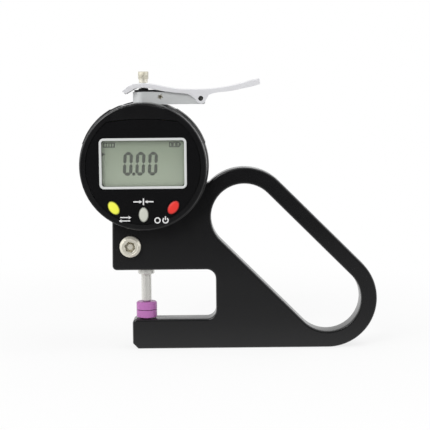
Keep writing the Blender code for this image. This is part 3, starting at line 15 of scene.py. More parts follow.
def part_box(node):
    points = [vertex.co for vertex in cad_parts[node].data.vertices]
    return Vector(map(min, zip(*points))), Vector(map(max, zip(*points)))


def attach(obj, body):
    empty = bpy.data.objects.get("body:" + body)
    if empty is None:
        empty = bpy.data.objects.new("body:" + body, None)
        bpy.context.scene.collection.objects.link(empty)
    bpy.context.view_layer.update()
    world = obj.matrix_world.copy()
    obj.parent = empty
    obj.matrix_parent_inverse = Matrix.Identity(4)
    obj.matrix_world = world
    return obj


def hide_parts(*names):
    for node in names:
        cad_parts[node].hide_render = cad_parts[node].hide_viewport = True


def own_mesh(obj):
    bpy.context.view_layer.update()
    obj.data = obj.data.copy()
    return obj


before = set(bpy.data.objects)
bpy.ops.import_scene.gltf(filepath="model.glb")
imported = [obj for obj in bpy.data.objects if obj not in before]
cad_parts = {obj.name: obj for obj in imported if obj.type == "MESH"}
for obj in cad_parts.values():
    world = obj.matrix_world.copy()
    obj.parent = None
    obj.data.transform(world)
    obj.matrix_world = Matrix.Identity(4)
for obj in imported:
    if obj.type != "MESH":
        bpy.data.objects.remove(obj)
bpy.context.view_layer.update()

bl_info = {
    "name": "Digital thickness gauge",
    "version": (1, 0, 0),
    "blender": (4, 5, 0),
    "location": "3D View > Sidebar > Gauge",
    "description": "Fine pieces, finishes and studio for a digital thickness gauge",
    "category": "Object",
}

MM = 0.001
MERGE_DISTANCE = 0.002 * MM
SHARP_ANGLE = math.radians(35.0)
QUARTER = math.pi / 2
FULL_TURN = 2 * math.pi
WHITE = (1, 1, 1, 1)
SMOOTH = {"interpolation_type": "SMOOTHSTEP"}

# Width of the broad smears that vary a finish's roughness
SMEAR_WIDTH = 14 * MM

# The frame's seat under the head, from the head's middle, and how far it comes up
SEAT_NEAR = 30.1 * MM
SEAT_FAR = 31.75 * MM
SEAT_LEFT = math.radians(31.8)
SEAT_RIGHT = math.radians(76.0)
SEAT_RISE = 0.52 * MM

# The drawer's sides, and how far they come out to the bezel
DRAWER_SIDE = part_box("battery_drawer")[1].x
DRAWER_SPREAD = 0.2 * MM

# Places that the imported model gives
BEZEL_LOW, BEZEL_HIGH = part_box("front_bezel")
HEAD_Z = (BEZEL_LOW.z + BEZEL_HIGH.z) / 2
FACE_FORWARD = -BEZEL_LOW.y
PIN_LOW, PIN_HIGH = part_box("lever_pin")
PIVOT = Vector(((PIN_LOW.x + PIN_HIGH.x) / 2, 0, (PIN_LOW.z + PIN_HIGH.z) / 2))
SCREW_LOW, SCREW_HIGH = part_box("clamp_screw")
CLAMP_AT = Vector(((SCREW_LOW.x + SCREW_HIGH.x) / 2, 0, (SCREW_LOW.z + SCREW_HIGH.z) / 2))


def linear(code):
    """An sRGB hex value as linear red, green and blue."""
    shares = [int(code[i:i + 2], 16) / 255 for i in (1, 3, 5)]
    return [s / 12.92 if s <= 0.04045 else ((s + 0.055) / 1.055) ** 2.4 for s in shares]


def colour(name, code, description):
    """A colour that a user can change, with its default as an sRGB hex value."""
    return FloatVectorProperty(
        name=name, description=description, subtype="COLOR", size=3, min=0.0, max=1.0, default=linear(code))


def size(name, default, description):
    """A length that a user can change, with its default in millimetres."""
    return FloatProperty(
        name=name, description=description, subtype="DISTANCE", unit="LENGTH", min=0.0, default=default * MM)


class GaugeColours(bpy.types.PropertyGroup):
    """Colours of the gauge's finishes."""

    coat: colour("Frame coat", "#161617", "Black powder coat of the frame")
    housing: colour("Housing", "#141415", "Black moulded housing of the head")
    film: colour("Label film", "#141415", "Glossy black film round the display")
    trim: colour("Window trim", "#CDCFCE", "White frame round the display")
    window: colour("Window", "#C6CDC2", "Clear window over the display")
    # The display's top and bottom colours paint shade on the glass, darker at its upper edge
    crystal_shaded_top: colour("Display, top", "#818E78", "Display glass at its upper edge")
    crystal_lit_bottom: colour("Display, bottom", "#A5AF9C", "Display glass at its lower edge")
    digits: colour("Display digits", "#12160F", "Darkened display segments")
    yellow: colour("Yellow button", "#ECED4C", "Rubber of the left button")
    grey: colour("Grey button", "#C3C5BB", "Rubber of the middle button")
    red: colour("Red button", "#E03028", "Rubber of the right button")
    marks: colour("Printed marks", "#DCDCDC", "Screen-printed marks on the film")
    ceramic: colour("Contact discs", "#B06AAB", "Coloured ceramic of the two contacts")
    steel: colour("Ground steel", "#DDDCD7", "Spindle and stem")
    plating: colour("Nickel plating", "#DEDACC", "Socket screws, knob, cell and spring")
    lever: colour("Lever", "#EEEEF1", "Plated sheet of the lever")
    bracket: colour("Bracket", "#D6D8D8", "Cast aluminium of the bracket")
    oxide: colour("Black oxide", "#4A4A48", "Blackened steel of the pin and small screws")
    # This colour is also the painted shade of the pad under the lever
    acetal: colour("Acetal", "#1A1A1B", "Bush and pad on the bracket")
    board: colour("Board", "#1E5A34", "Solder mask of the boards inside")
    copper: colour("Board pads", "#C79B4B", "Gilt pads and tracks on the boards")
    brass: colour("Brass", "#C9A45C", "Slider, bush and battery contacts")
    silicone: colour("Silicone", "#8A8A88", "Rubber pad and connector strips")
    epoxy: colour("Chip", "#202022", "Moulded epoxy of the chip")
    floor: colour("Floor", "#FFFFFF", "Floor of the studio")


class GaugeSizes(bpy.types.PropertyGroup):
    """Sizes of the finer pieces."""

    edge: size("Edge break", 0.12, "Bevel on the edges of the bracket")
    socket: size("Socket", 4.8, "Hex socket of the clamp screw, across its flats")
    crown: size("Button crown", 0.6, "Height of a button's dome")
    print_height: size("Print height", 0.03, "Thickness of the printed marks")
    digit_height: size("Digit height", 11.2, "Height of a digit on the display")
    digit_width: size("Digit width", 4.45, "Width of a digit on the display")
    digit_pitch: size("Digit pitch", 5.9, "Distance from one digit to the next")
    stroke: size("Stroke", 1.5, "Width of a display segment")
    sheet: size("Lever sheet", 1.2, "Thickness of the lever's sheet")
    teeth: IntProperty(
        name="Knob teeth", description="Knurled teeth round the knob", min=12, max=80, default=40)


# Shaping

def merged_copy(node):
    """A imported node's mesh with its doubles merged and its flat faces joined."""
    work = bmesh.new()
    work.from_mesh(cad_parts[node].data)
    bmesh.ops.remove_doubles(work, verts=work.verts, dist=MERGE_DISTANCE)
    bmesh.ops.dissolve_limit(work, angle_limit=math.radians(0.3), verts=work.verts, edges=work.edges)
    return work


def curve(share, start, leave, end, arrive):
    """The place at a share of a smooth curve, from its two ends and its directions there."""
    square, cube = share ** 2, share ** 3
    return (
        start * (2 * cube - 3 * square + 1) + leave * (cube - 2 * square + share)
        + end * (3 * square - 2 * cube) + arrive * (cube - square))


def round_arcs(work, axis):
    """Adds points along the arcs that lie across an axis and are drawn with few straight edges."""
    cuts = 3
    least_bend, most_bend = math.radians(0.3), math.radians(22.0)
    most_uneven = 2.5
    ways = {}
    rims = []
    for edge in work.edges:
        start, end = edge.verts
        level = abs(start.co[axis] - end.co[axis]) < MERGE_DISTANCE
        if level and len(edge.link_faces) == 2 and edge.calc_face_angle(0) > SHARP_ANGLE / 2:
            rims.append(edge)
            for vertex in edge.verts:
                ways.setdefault(vertex, []).append(edge)

    def tangent(edge, vertex, along):
        """The curve's direction where an edge meets the next one."""
        others = [e for e in ways[vertex] if e is not edge]
        if len(others) != 1:
            return along
        nearby = vertex.co - others[0].other_vert(vertex).co
        if nearby.dot(along) < 0:
            nearby.negate()
        if nearby.angle(along) > most_bend:
            return along
        if nearby.length > most_uneven * along.length:
            return nearby.normalized() * along.length
        if along.length > most_uneven * nearby.length:
            return along
        return (nearby.normalized() + along.normalized()).normalized() * along.length

    straight = KDTree(len(rims) * cuts)
    curved = []
    bent = []
    for edge in rims:
        start, end = edge.verts
        along = end.co - start.co
        leave = tangent(edge, start, along)
        arrive = tangent(edge, end, along)
        if max(leave.angle(along), arrive.angle(along)) < least_bend:
            continue
        bent.append(edge)
        for number in range(1, cuts + 1):
            share = number / (cuts + 1)
            straight.insert(start.co.lerp(end.co, share), len(curved))
            curved.append(curve(share, start.co, leave, end.co, arrive))
    straight.balance()
    made = bmesh.ops.subdivide_edges(work, edges=bent, cuts=cuts)["geom_inner"]
    for vertex in [g for g in made if isinstance(g, bmesh.types.BMVert)]:
        place, number, distance = straight.find(vertex.co)
        if distance < MERGE_DISTANCE:
            vertex.co = curved[number]
    return work


def break_edges(work, width, segments=2, least=50.0, wanted=None):
    """Bevels the sharp edges of a shape, or those of them that are wanted."""
    edges = [
        e for e in work.edges
        if len(e.link_faces) == 2 and e.calc_face_angle(0) > math.radians(least)
        and (not wanted or wanted(e))]
    bmesh.ops.bevel(
        work, geom=edges, offset=width, offset_type="OFFSET", segments=segments, profile=0.5,
        affect="EDGES", clamp_overlap=True, material=-1)


def turned(profile, steps=64):
    """A shape turned about Z from (radius, height) pairs."""
    work = bmesh.new()
    points = [work.verts.new((radius, 0, height)) for radius, height in profile]
    edges = [work.edges.new(pair) for pair in zip(points, points[1:])]
    bmesh.ops.spin(
        work, geom=points + edges, cent=(0, 0, 0), axis=(0, 0, 1), dvec=(0, 0, 0),
        angle=FULL_TURN, steps=steps, use_merge=True, use_duplicate=False)
    bmesh.ops.remove_doubles(work, verts=work.verts, dist=MERGE_DISTANCE)
    bmesh.ops.recalc_face_normals(work, faces=work.faces)
    return work


def disc(radius, sides):
    """A flat face in the XY plane with even sides."""
    work = bmesh.new()
    bmesh.ops.create_circle(work, cap_ends=True, segments=sides, radius=radius)
    return work


def hoop(outer, inner, start, sweep):
    """A flat ring, or a part of one, in the XY plane."""
    work = bmesh.new()
    ends = [work.verts.new((r * math.cos(start), r * math.sin(start), 0)) for r in (inner, outer)]
    bmesh.ops.spin(
        work, geom=ends + [work.edges.new(ends)], cent=(0, 0, 0), axis=(0, 0, 1), dvec=(0, 0, 0),
        angle=sweep, steps=28, use_merge=sweep == FULL_TURN, use_duplicate=False)
    return work


def rectangle(across, up, corner=0, segments=8):
    """A flat rectangle in the XY plane, with round corners where wanted."""
    work = bmesh.new()
    bmesh.ops.create_grid(work, x_segments=1, y_segments=1, size=0.5)
    bmesh.ops.scale(work, vec=(across, up, 1), verts=work.verts)
    if corner:
        bmesh.ops.bevel(
            work, geom=work.verts[:], offset=corner, offset_type="OFFSET", segments=segments,
            profile=0.5, affect="VERTICES", material=-1)
    return work


def cutter(radius, depth, place, sides=48, far_radius=None):
    """A bar to cut with, along the Z axis of its place: round, tapered or with flat sides."""
    work = bmesh.new()
    bmesh.ops.create_cone(
        work, cap_ends=True, segments=sides, radius1=radius, radius2=far_radius or radius,
        depth=depth, matrix=place)
    return work


def raise_faces(work, faces, height):
    """Extrudes faces upwards and returns the new upper faces."""
    edges = list({edge for face in faces for edge in face.edges})
    made = bmesh.ops.extrude_face_region(work, geom=faces + edges)["geom"]
    upper = [g for g in made if isinstance(g, bmesh.types.BMFace)]
    lifted = [g for g in made if isinstance(g, bmesh.types.BMVert)]
    bmesh.ops.translate(work, vec=(0, 0, height), verts=lifted)
    return upper


def dome(work, faces, spread, height, steps):
    """Rounds faces off in a quarter of an ellipse that draws their outline in by a share."""
    centre = faces[0].calc_center_median()
    for step in range(steps):
        start = QUARTER * step / steps
        end = QUARTER * (step + 1) / steps
        faces = raise_faces(work, faces, height * (math.sin(end) - math.sin(start)))
        share = (1 - spread * (1 - math.cos(end))) / (1 - spread * (1 - math.cos(start)))
        bmesh.ops.scale(
            work, vec=(share, share, 1), space=Matrix.Translation(-centre),
            verts=list({vertex for face in faces for vertex in face.verts}))


def solid_from(work, height):
    """Gives a flat shape its thickness upwards, with its faces pointing outwards."""
    raise_faces(work, work.faces[:], height)
    bmesh.ops.recalc_face_normals(work, faces=work.faces)
    return work


def mark(shape, height, x, z, turn=0.0):
    """Gives a flat shape the thickness of print, turns it and moves it to its place."""
    solid_from(shape, height)
    bmesh.ops.rotate(shape, cent=(0, 0, 0), matrix=Matrix.Rotation(turn, 3, "Z"), verts=shape.verts)
    bmesh.ops.translate(shape, vec=(x, z, 0), verts=shape.verts)
    return shape


def face_reader(work, across, up, forward=0.0):
    """Turns a shape that lies flat to face the reader, and puts its foot at a distance forward."""
    bmesh.ops.rotate(work, cent=(0, 0, 0), matrix=Matrix.Rotation(QUARTER, 3, "X"), verts=work.verts)
    bmesh.ops.translate(work, vec=(across, -forward, up), verts=work.verts)
    return work


def as_mesh(name, work):
    """A mesh made of a shape, which is used up."""
    mesh = bpy.data.meshes.new(name)
    work.to_mesh(mesh)
    work.free()
    return mesh


def add_object(name, data):
    """Puts a mesh, a lamp or a camera in the scene."""
    obj = bpy.data.objects.new(name, data)
    bpy.context.scene.collection.objects.link(obj)
    return obj


def gather(shapes):
    """One shape made of several."""
    whole = bmesh.new()
    for shape in shapes:
        mesh = as_mesh("part_of_shape", shape)
        whole.from_mesh(mesh)
        bpy.data.meshes.remove(mesh)
    return whole


def carve(work, tool):
    """Cuts a shape out of another."""
    pair = [add_object("carving", as_mesh("carving", shape)) for shape in (work, tool)]
    cut = pair[0].modifiers.new("cut", "BOOLEAN")
    cut.operation = "DIFFERENCE"
    cut.solver = "EXACT"
    cut.object = pair[1]
    bpy.context.view_layer.update()
    shown = pair[0].evaluated_get(bpy.context.evaluated_depsgraph_get())
    carved = bmesh.new()
    carved.from_mesh(shown.to_mesh())
    shown.to_mesh_clear()
    for obj in pair:
        mesh = obj.data
        bpy.data.objects.remove(obj)
        bpy.data.meshes.remove(mesh)
    return carved


def piece(name, work, body, slot, finish, *nodes):
    """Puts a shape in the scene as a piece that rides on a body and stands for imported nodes."""
    mesh = as_mesh(name, work)
    mesh.shade_smooth()
    mesh.set_sharp_from_angle(angle=SHARP_ANGLE)
    mesh.materials.append(finish)
    obj = add_object(name, mesh)
    even = obj.modifiers.new("even_normals", "WEIGHTED_NORMAL")
    even.keep_sharp = True
    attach(obj, body)
    if nodes:
        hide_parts(*nodes)
    return obj


# Finishes

def add_node(tree, kind, settings=None, values=None, links=None):
    """Adds a shader node with its options, its sockets' values, and the sockets or nodes that feed it."""
    made = tree.nodes.new("ShaderNode" + kind)
    for key, value in (settings or {}).items():
        setattr(made, key, value)
    for key, value in (values or {}).items():
        made.inputs[key].default_value = value
    for key, source in (links or {}).items():
        tree.links.new(getattr(source, "outputs", [source])[0], made.inputs[key])
    return made


def shade(tint, share):
    """A colour made lighter or darker by a share, with full opacity."""
    return [min(1.0, c * share) for c in tint] + [1.0]


def surface(name, setting, roughness, grain, depth, metallic=0.0, spread=0.06, smear=0.04,
            stretch=(1, 1, 1), sockets=None):
    """A finish in one of the user's colours, with the size and depth of its grain in millimetres.

    The grain varies the colour by a spread, and broad smears vary the roughness.
    """
    known = bpy.data.materials.get(name)
    if known:
        return known
    tint = getattr(bpy.context.scene.gauge_colours, setting)
    material = bpy.data.materials.new(name)
    material.use_nodes = True
    tree = material.node_tree
    shader = tree.nodes["Principled BSDF"]
    shader.inputs["Metallic"].default_value = metallic
    for key, value in (sockets or {}).items():
        shader.inputs[key].default_value = value
    place = add_node(tree, "TexCoord").outputs["Object"]
    fine = add_node(
        tree, "Mapping", values={"Scale": [s / (grain * MM) for s in stretch]}, links={"Vector": place})
    broad = add_node(tree, "Mapping", values={"Scale": [1 / SMEAR_WIDTH] * 3}, links={"Vector": place})
    grains = add_node(
        tree, "TexNoise", values={"Scale": 1.0, "Detail": 3.0, "Roughness": 0.55}, links={"Vector": fine})
    smears = add_node(
        tree, "TexNoise", values={"Scale": 1.0, "Detail": 2.0, "Roughness": 0.5}, links={"Vector": broad})
    mix = add_node(
        tree, "Mix", {"data_type": "RGBA"},
        {"A": shade(tint, 1 - spread), "B": shade(tint, 1 + spread)}, {"Factor": grains})
    gloss = add_node(
        tree, "MapRange",
        values={"From Min": 0.3, "From Max": 0.7, "To Min": roughness - smear, "To Max": roughness + smear},
        links={"Value": smears})
    relief = add_node(
        tree, "Bump", values={"Strength": 1.0, "Distance": depth * MM}, links={"Height": grains})
    tree.links.new(mix.outputs["Result"], shader.inputs["Base Color"])
    tree.links.new(gloss.outputs["Result"], shader.inputs["Roughness"])
    tree.links.new(relief.outputs["Normal"], shader.inputs["Normal"])
    return material


def lay_over(material, tint, share):
    """Lays a second colour over a finish as far as a share says."""
    tree = material.node_tree
    base = tree.nodes["Principled BSDF"].inputs["Base Color"]
    mix = add_node(
        tree, "Mix", {"data_type": "RGBA"}, {"B": tint}, {"Factor": share, "A": base.links[0].from_socket})
    tree.links.new(mix.outputs["Result"], base)
    return material


def powder_coat():
    """Black powder coat on aluminium: a satin skin with a faint orange peel."""
    return surface("powder_coated_aluminium", "coat", 0.22, 0.9, 0.004, sockets={"Specular IOR Level": 0.4})


def moulded_abs():
    """Black ABS moulded in a spark-eroded tool: even and satin, with a fine grain."""
    return surface("moulded_black_abs", "housing", 0.24, 0.6, 0.004)


def label_film():
    """Glossy polyester film printed black on its back: smooth, with the slight waves of its glue."""
    return surface("glossy_label_film", "film", 0.10, 5.0, 0.004, spread=0.02, smear=0.03)


def white_abs():
    """White ABS, moulded and slightly glossy."""
    return surface("moulded_white_abs", "trim", 0.38, 0.5, 0.003, spread=0.02)


def clear_acrylic():
    """Clear acrylic window: almost all light passes, the rest is a sharp reflection."""
    made = surface(
        "clear_acrylic", "window", 0.06, 8.0, 0.001, spread=0.01, smear=0.02, sockets={"Alpha": 0.10})
    made.surface_render_method = "BLENDED"
    return made


def display_glass():
    """Reflective liquid crystal glass: grey green, with painted shade that leaves it darker at its upper
    edge and paler towards its lower edge, and a silky reflector.
    """
    made = surface("liquid_crystal_glass", "crystal_shaded_top", 0.42, 0.3, 0.001, spread=0.02)
    colours = bpy.context.scene.gauge_colours
    tree = made.node_tree
    low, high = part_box("lcd_panel")
    grained = tree.nodes["Principled BSDF"].inputs["Base Color"].links[0].from_node
    place = add_node(tree, "TexCoord").outputs["Object"]
    upwards = add_node(tree, "SeparateXYZ", links={"Vector": place}).outputs["Z"]
    # Painted shade: the colour goes from the paler lower edge up to the darker upper edge
    share = add_node(
        tree, "MapRange", values={"From Min": low.z, "From Max": high.z}, links={"Value": upwards})
    for socket, amount in (("A", 0.98), ("B", 1.02)):
        fade = add_node(
            tree, "Mix", {"data_type": "RGBA"},
            {"A": shade(colours.crystal_lit_bottom, amount), "B": shade(colours.crystal_shaded_top, amount)},
            {"Factor": share})
        tree.links.new(fade.outputs["Result"], grained.inputs[socket])
    return made


def crystal_segments():
    """Darkened liquid crystal: soft grey green, as matt as the glass behind it."""
    return surface("darkened_segments", "digits", 0.45, 0.2, 0.001, spread=0.05)


def silicone_with_painted_rim_shade(setting, crown, rim):
    """Coloured silicone rubber: soft sheen and a very fine grain, with painted shade that darkens it towards
    its rim.
    """
    made = surface(
        f"silicone_{setting}_button", setting, 0.42, 0.25, 0.004, spread=0.03,
        sockets={"Specular IOR Level": 0.4})
    tree = made.node_tree
    place = add_node(tree, "TexCoord").outputs["Object"]
    depth = add_node(tree, "SeparateXYZ", links={"Vector": place}).outputs["Y"]
    # Painted shade: from the crown down to the rim the rubber darkens to three tenths of its colour
    share = add_node(
        tree, "MapRange", SMOOTH, {"From Min": crown, "From Max": rim},
        {"Value": depth})
    return lay_over(made, shade(getattr(bpy.context.scene.gauge_colours, setting), 0.3), share)


def screen_print():
    """White screen-printing ink: matt, with the slight bite of the mesh."""
    return surface("screen_print_ink", "marks", 0.55, 0.15, 0.002, spread=0.05)


def ground_steel():
    """Stainless steel ground between centres: bright, with fine lines round the bar."""
    return surface(
        "ground_steel", "steel", 0.24, 0.16, 0.0012, metallic=0.55, spread=0.05, stretch=(0.05, 0.05, 1))


def nickel_plating():
    """Dull nickel plating on turned brass and steel: warm silver."""
    return surface("nickel_plating", "plating", 0.36, 0.4, 0.002, metallic=0.45, spread=0.04)


def plated_sheet():
    """Satin chrome plating on steel sheet: very light, and silky from fine brushing along the lever."""
    return surface(
        "satin_plated_sheet", "lever", 0.40, 0.5, 0.002, metallic=0.35, spread=0.05, stretch=(0.1, 1, 1))


def cast_aluminium():
    """Aluminium, cast and bead blasted: pale grey with a fine even grain."""
    return surface("blasted_aluminium", "bracket", 0.40, 0.5, 0.006, metallic=0.25, spread=0.05)


def black_oxide():
    """Steel blackened by oxide: dark with a dull metal glint."""
    return surface("blackened_steel", "oxide", 0.38, 0.2, 0.002, metallic=0.8)


def black_acetal():
    """Black acetal, turned: waxy and smooth. The pad that paints shade under the lever wears it too."""
    return surface("black_acetal", "acetal", 0.32, 0.3, 0.002, stretch=(0.1, 0.1, 1))


def ceramic():
    """Coloured alumina ceramic, ground and lapped: a dense satin surface with a faint speckle."""
    return surface("ground_ceramic", "ceramic", 0.34, 0.18, 0.0015, spread=0.07)


def printed_board():
    """Glass-epoxy board under green solder mask, with gilt tracks and pads 1.3 mm apart."""
    made = surface("solder_mask_board", "board", 0.32, 0.4, 0.003)
    pitch, pad = 1.3 * MM, 0.22
    tree = made.node_tree
    place = add_node(tree, "TexCoord").outputs["Object"]
    spaced = add_node(tree, "Mapping", values={"Scale": [1 / pitch] * 3}, links={"Vector": place})
    spots = add_node(
        tree, "TexVoronoi", {"feature": "F1"}, {"Scale": 1.0, "Randomness": 0.25}, {"Vector": spaced})
    pads = add_node(tree, "Math", {"operation": "LESS_THAN"}, {1: pad}, {0: spots})
    return lay_over(made, shade(bpy.context.scene.gauge_colours.copper, 1), pads)


def chip_epoxy():
    """Moulded epoxy of a chip: charcoal and matt."""
    return surface("moulded_epoxy", "epoxy", 0.55, 0.15, 0.004)


def soft_silicone():
    """Grey conductive silicone in thin layers: matt, with fine stripes."""
    return surface("layered_silicone", "silicone", 0.6, 0.3, 0.004, spread=0.12, stretch=(1, 0.1, 0.1))


def plain_brass():
    """Brass as it comes from the lathe or the press: yellow and bright."""
    return surface("bright_brass", "brass", 0.28, 0.2, 0.002, metallic=1.0)


class GaugeOperator:
    """What the dressing operators share."""

    bl_options = {"REGISTER", "UNDO"}


class GAUGE_OT_frame(GaugeOperator, bpy.types.Operator):
    """Coat the plate frame"""

    bl_idname = "gauge.frame"
    bl_label = "Frame"

    def execute(self, context):
        work = round_arcs(merged_copy("frame"), 1)
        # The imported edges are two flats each, and the ridge between them is rounded off
        ridge, nearby, rounding = 5.68 * MM, 0.02 * MM, 0.35 * MM
        break_edges(
            work, rounding, 2, 30, lambda e: all(abs(abs(v.co.y) - ridge) < nearby for v in e.verts))
        # The seat comes up to the head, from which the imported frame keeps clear
        for vertex in work.verts:
            away = Vector((vertex.co.x, 0, vertex.co.z - HEAD_Z))
            below = away.angle(Vector((0, 0, -1)))
            if SEAT_NEAR < away.length < SEAT_FAR and below < (SEAT_RIGHT if away.x > 0 else SEAT_LEFT):
                vertex.co -= away.normalized() * SEAT_RISE
        piece("coated_frame", work, "frame", "black_paint", powder_coat(), "frame")
        return {"FINISHED"}


class GAUGE_OT_clamp_screw(GaugeOperator, bpy.types.Operator):
    """Turn the clamp screw with its hex socket"""

    bl_idname = "gauge.clamp_screw"
    bl_label = "Clamp screw"

    def execute(self, context):
        socket = context.scene.gauge_sizes.socket
        foot, top = -SCREW_HIGH.y, -SCREW_LOW.y
        radius = (SCREW_HIGH.x - SCREW_LOW.x) / 2 - 0.15 * MM
        shank, point = 2.5 * MM, 0.4 * MM
        head, shoulder, rounding = 3.2 * MM, 1.1 * MM, 0.45 * MM
        seat = top - head
        groove, dip = 3.75 * MM, 0.12 * MM
        work = turned([
            (0, top - dip), (groove - dip, top - dip), (groove, top), (radius - shoulder, top),
            (radius, top - shoulder), (radius, seat),
            (shank, seat), (shank, foot + point), (shank - point, foot), (0, foot)])
        break_edges(work, rounding, 4, 30, lambda e: min(v.co.z for v in e.verts) > seat + rounding)
        deep, spare, hex_turn = 3.0 * MM, 1.0 * MM, 0.26
        middle = Matrix.Translation((0, 0, top + (spare - deep) / 2))
        work = carve(work, cutter(
            socket / math.sqrt(3), deep + spare, middle @ Matrix.Rotation(hex_turn, 4, "Z"), 6))
        work = carve(work, cutter(
            0.42 * socket, spare, Matrix.Translation((0, 0, top - dip)), 64, far_radius=0.70 * socket))
        # A turned centre stands in the socket
        floor = top - deep - 0.2 * MM
        centre = turned([
            (0, top - 1.0 * MM), (1.25 * MM, top - 1.1 * MM), (1.65 * MM, top - 1.6 * MM),
            (1.75 * MM, floor), (0, floor)], 32)
        work = face_reader(gather([work, centre]), CLAMP_AT.x, CLAMP_AT.z)
        piece("clamp_socket_screw", work, "frame", "steel", nickel_plating(), "clamp_screw")
        return {"FINISHED"}


class GAUGE_OT_contacts(GaugeOperator, bpy.types.Operator):
    """Grind the two ceramic contact discs"""

    bl_idname = "gauge.contacts"
    bl_label = "Contact discs"

    def execute(self, context):
        edge = 0.06 * MM
        for name, body, node, below, above in (
                ("moving_contact", "spindle", "contact_disc", 0.07 * MM, 0.55 * MM),
                ("fixed_contact", "frame", "anvil_disc", 0.3 * MM, 0.07 * MM)):
            low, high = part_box(node)
            radius = high.x
            work = turned([
                (0, low.z), (radius - below, low.z), (radius, low.z + below), (radius, high.z - above),
                (radius - above, high.z), (0, high.z)], 96)
            break_edges(work, edge, 2, 25)
            piece(name, work, body, "purple_ceramic", ceramic(), node)
        return {"FINISHED"}


class GAUGE_OT_spindle(GaugeOperator, bpy.types.Operator):
    """Grind the spindle and the stem that guides it"""

    bl_idname = "gauge.spindle"
    bl_label = "Spindle and stem"

    def execute(self, context):
        for name, node, body, slot, finish in (
                ("ground_spindle", "spindle", "spindle", "steel", ground_steel()),
                ("ground_stem", "stem", "frame", "steel", ground_steel()),
                ("turned_upper_stem", "upper_stem", "frame", "steel", ground_steel()),
                ("turned_bush", "upper_bush", "frame", "black_plastic", black_acetal())):
            piece(name, round_arcs(merged_copy(node), 2), body, slot, finish, node)
        return {"FINISHED"}


class GAUGE_OT_knob(GaugeOperator, bpy.types.Operator):
    """Knurl the knob on top of the spindle"""

    bl_idname = "gauge.knob"
    bl_label = "Knob"

    def execute(self, context):
        teeth = context.scene.gauge_sizes.teeth
        tooth_share = 0.93
        low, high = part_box("spindle_knob")
        grip_foot = low.z + 1.7 * MM
        foot_rounding, crown = 0.25 * MM, 0.3 * MM
        work = disc(high.x, 4 * teeth)
        for vertex in work.verts:
            number = round(math.atan2(vertex.co.y, vertex.co.x) * 2 * teeth / math.pi)
            if number % 4 == 2:
                vertex.co.xy *= tooth_share
        bmesh.ops.translate(work, vec=(0, 0, grip_foot + foot_rounding), verts=work.verts)
        foot = work.faces[:]
        upper = raise_faces(work, foot, high.z - grip_foot - foot_rounding - crown)
        bmesh.ops.recalc_face_normals(work, faces=work.faces)
        dome(work, upper, spread=0.2, height=crown, steps=3)
        dome(work, foot, spread=0.15, height=-foot_rounding, steps=2)
        skirt, bore, edge = 2.1 * MM, 1.4 * MM, 0.15 * MM
        inside, joined = low.z + 1.5 * MM, grip_foot + 0.2 * MM
        lower = turned([
            (0, joined), (skirt, joined), (skirt, low.z + edge), (skirt - edge, low.z), (bore, low.z),
            (bore, inside), (0, inside)], 40)
        work = gather([work, lower])
        piece("knurled_knob", work, "spindle", "nickel", nickel_plating(), "spindle_knob")
        return {"FINISHED"}


class GAUGE_OT_head(GaugeOperator, bpy.types.Operator):
    """Mould the head's shell, bezel, covers and battery drawer"""

    bl_idname = "gauge.head"
    bl_label = "Head"

    def execute(self, context):
        cover_edge, nearby = 0.18 * MM, 0.05 * MM
        for node, name, body in (
                ("body_shell", "moulded_shell", "frame"), ("front_bezel", "moulded_bezel", "frame"),
                ("rim_cover_left", "moulded_cover_left", "frame"),
                ("rim_cover_right", "moulded_cover_right", "frame"),
                ("rear_cover", "moulded_back", "frame"),
                ("battery_drawer", "moulded_drawer", "battery_drawer")):
            work = round_arcs(merged_copy(node), 1)
            if node.startswith("rim_cover"):
                break_edges(work, cover_edge, 3)
            if node == "battery_drawer":
                # Its sides come up to a hairline from the bezel
                for vertex in [v for v in work.verts if abs(abs(v.co.x) - DRAWER_SIDE) < nearby]:
                    vertex.co.x += math.copysign(DRAWER_SPREAD, vertex.co.x)
            piece(name, work, body, "black_plastic", moulded_abs(), node)
        for number in range(1, 5):
            node = f"rear_cover_screw_{number}"
            work = round_arcs(merged_copy(node), 1)
            piece(f"cover_screw_{number}", work, "frame", "steel", black_oxide(), node)
        return {"FINISHED"}


class GAUGE_OT_label(GaugeOperator, bpy.types.Operator):
    """Lay the glossy label film with its printed marks"""

    bl_idname = "gauge.label"
    bl_label = "Label"

    # Arrows, a ring and a power sign, in millimetres and radians from the head's middle:
    # bars with width, height and place, arrow heads with place and turn, rings with place, start and sweep
    BARS = (
        (4.1, 0.5, -9.1, -22.4), (4.1, 0.5, -8.5, -24.0), (0.6, 3.2, 0.0, -15.0),
        (2.9, 0.6, -3.3, -15.0), (2.9, 0.6, 3.3, -15.0), (0.5, 1.8, 10.3, -22.9))
    ARROW_HEADS = (
        (-6.7, -22.4, -QUARTER), (-10.9, -24.0, QUARTER), (-1.5, -15.0, -QUARTER), (1.5, -15.0, QUARTER))
    RINGS = ((6.5, -23.9, 0.0, FULL_TURN), (10.3, -23.9, math.radians(125), math.radians(290)))

    def execute(self, context):
        film = round_arcs(merged_copy("face_plate"), 1)
        piece("label_film", film, "frame", "gloss_label", label_film(), "face_plate")
        height = context.scene.gauge_sizes.print_height
        arrow, outer, inner = 0.9 * MM, 1.5 * MM, 0.95 * MM
        shapes = [
            mark(rectangle(across * MM, up * MM), height, x * MM, z * MM) for across, up, x, z in self.BARS]
        shapes += [mark(disc(arrow, 3), height, x * MM, z * MM, turn) for x, z, turn in self.ARROW_HEADS]
        shapes += [
            mark(hoop(outer, inner, start, sweep), height, x * MM, z * MM)
            for x, z, start, sweep in self.RINGS]
        marks = face_reader(gather(shapes), 0.0, HEAD_Z, FACE_FORWARD)
        piece("printed_marks", marks, "frame", "white_plastic", screen_print())
        return {"FINISHED"}


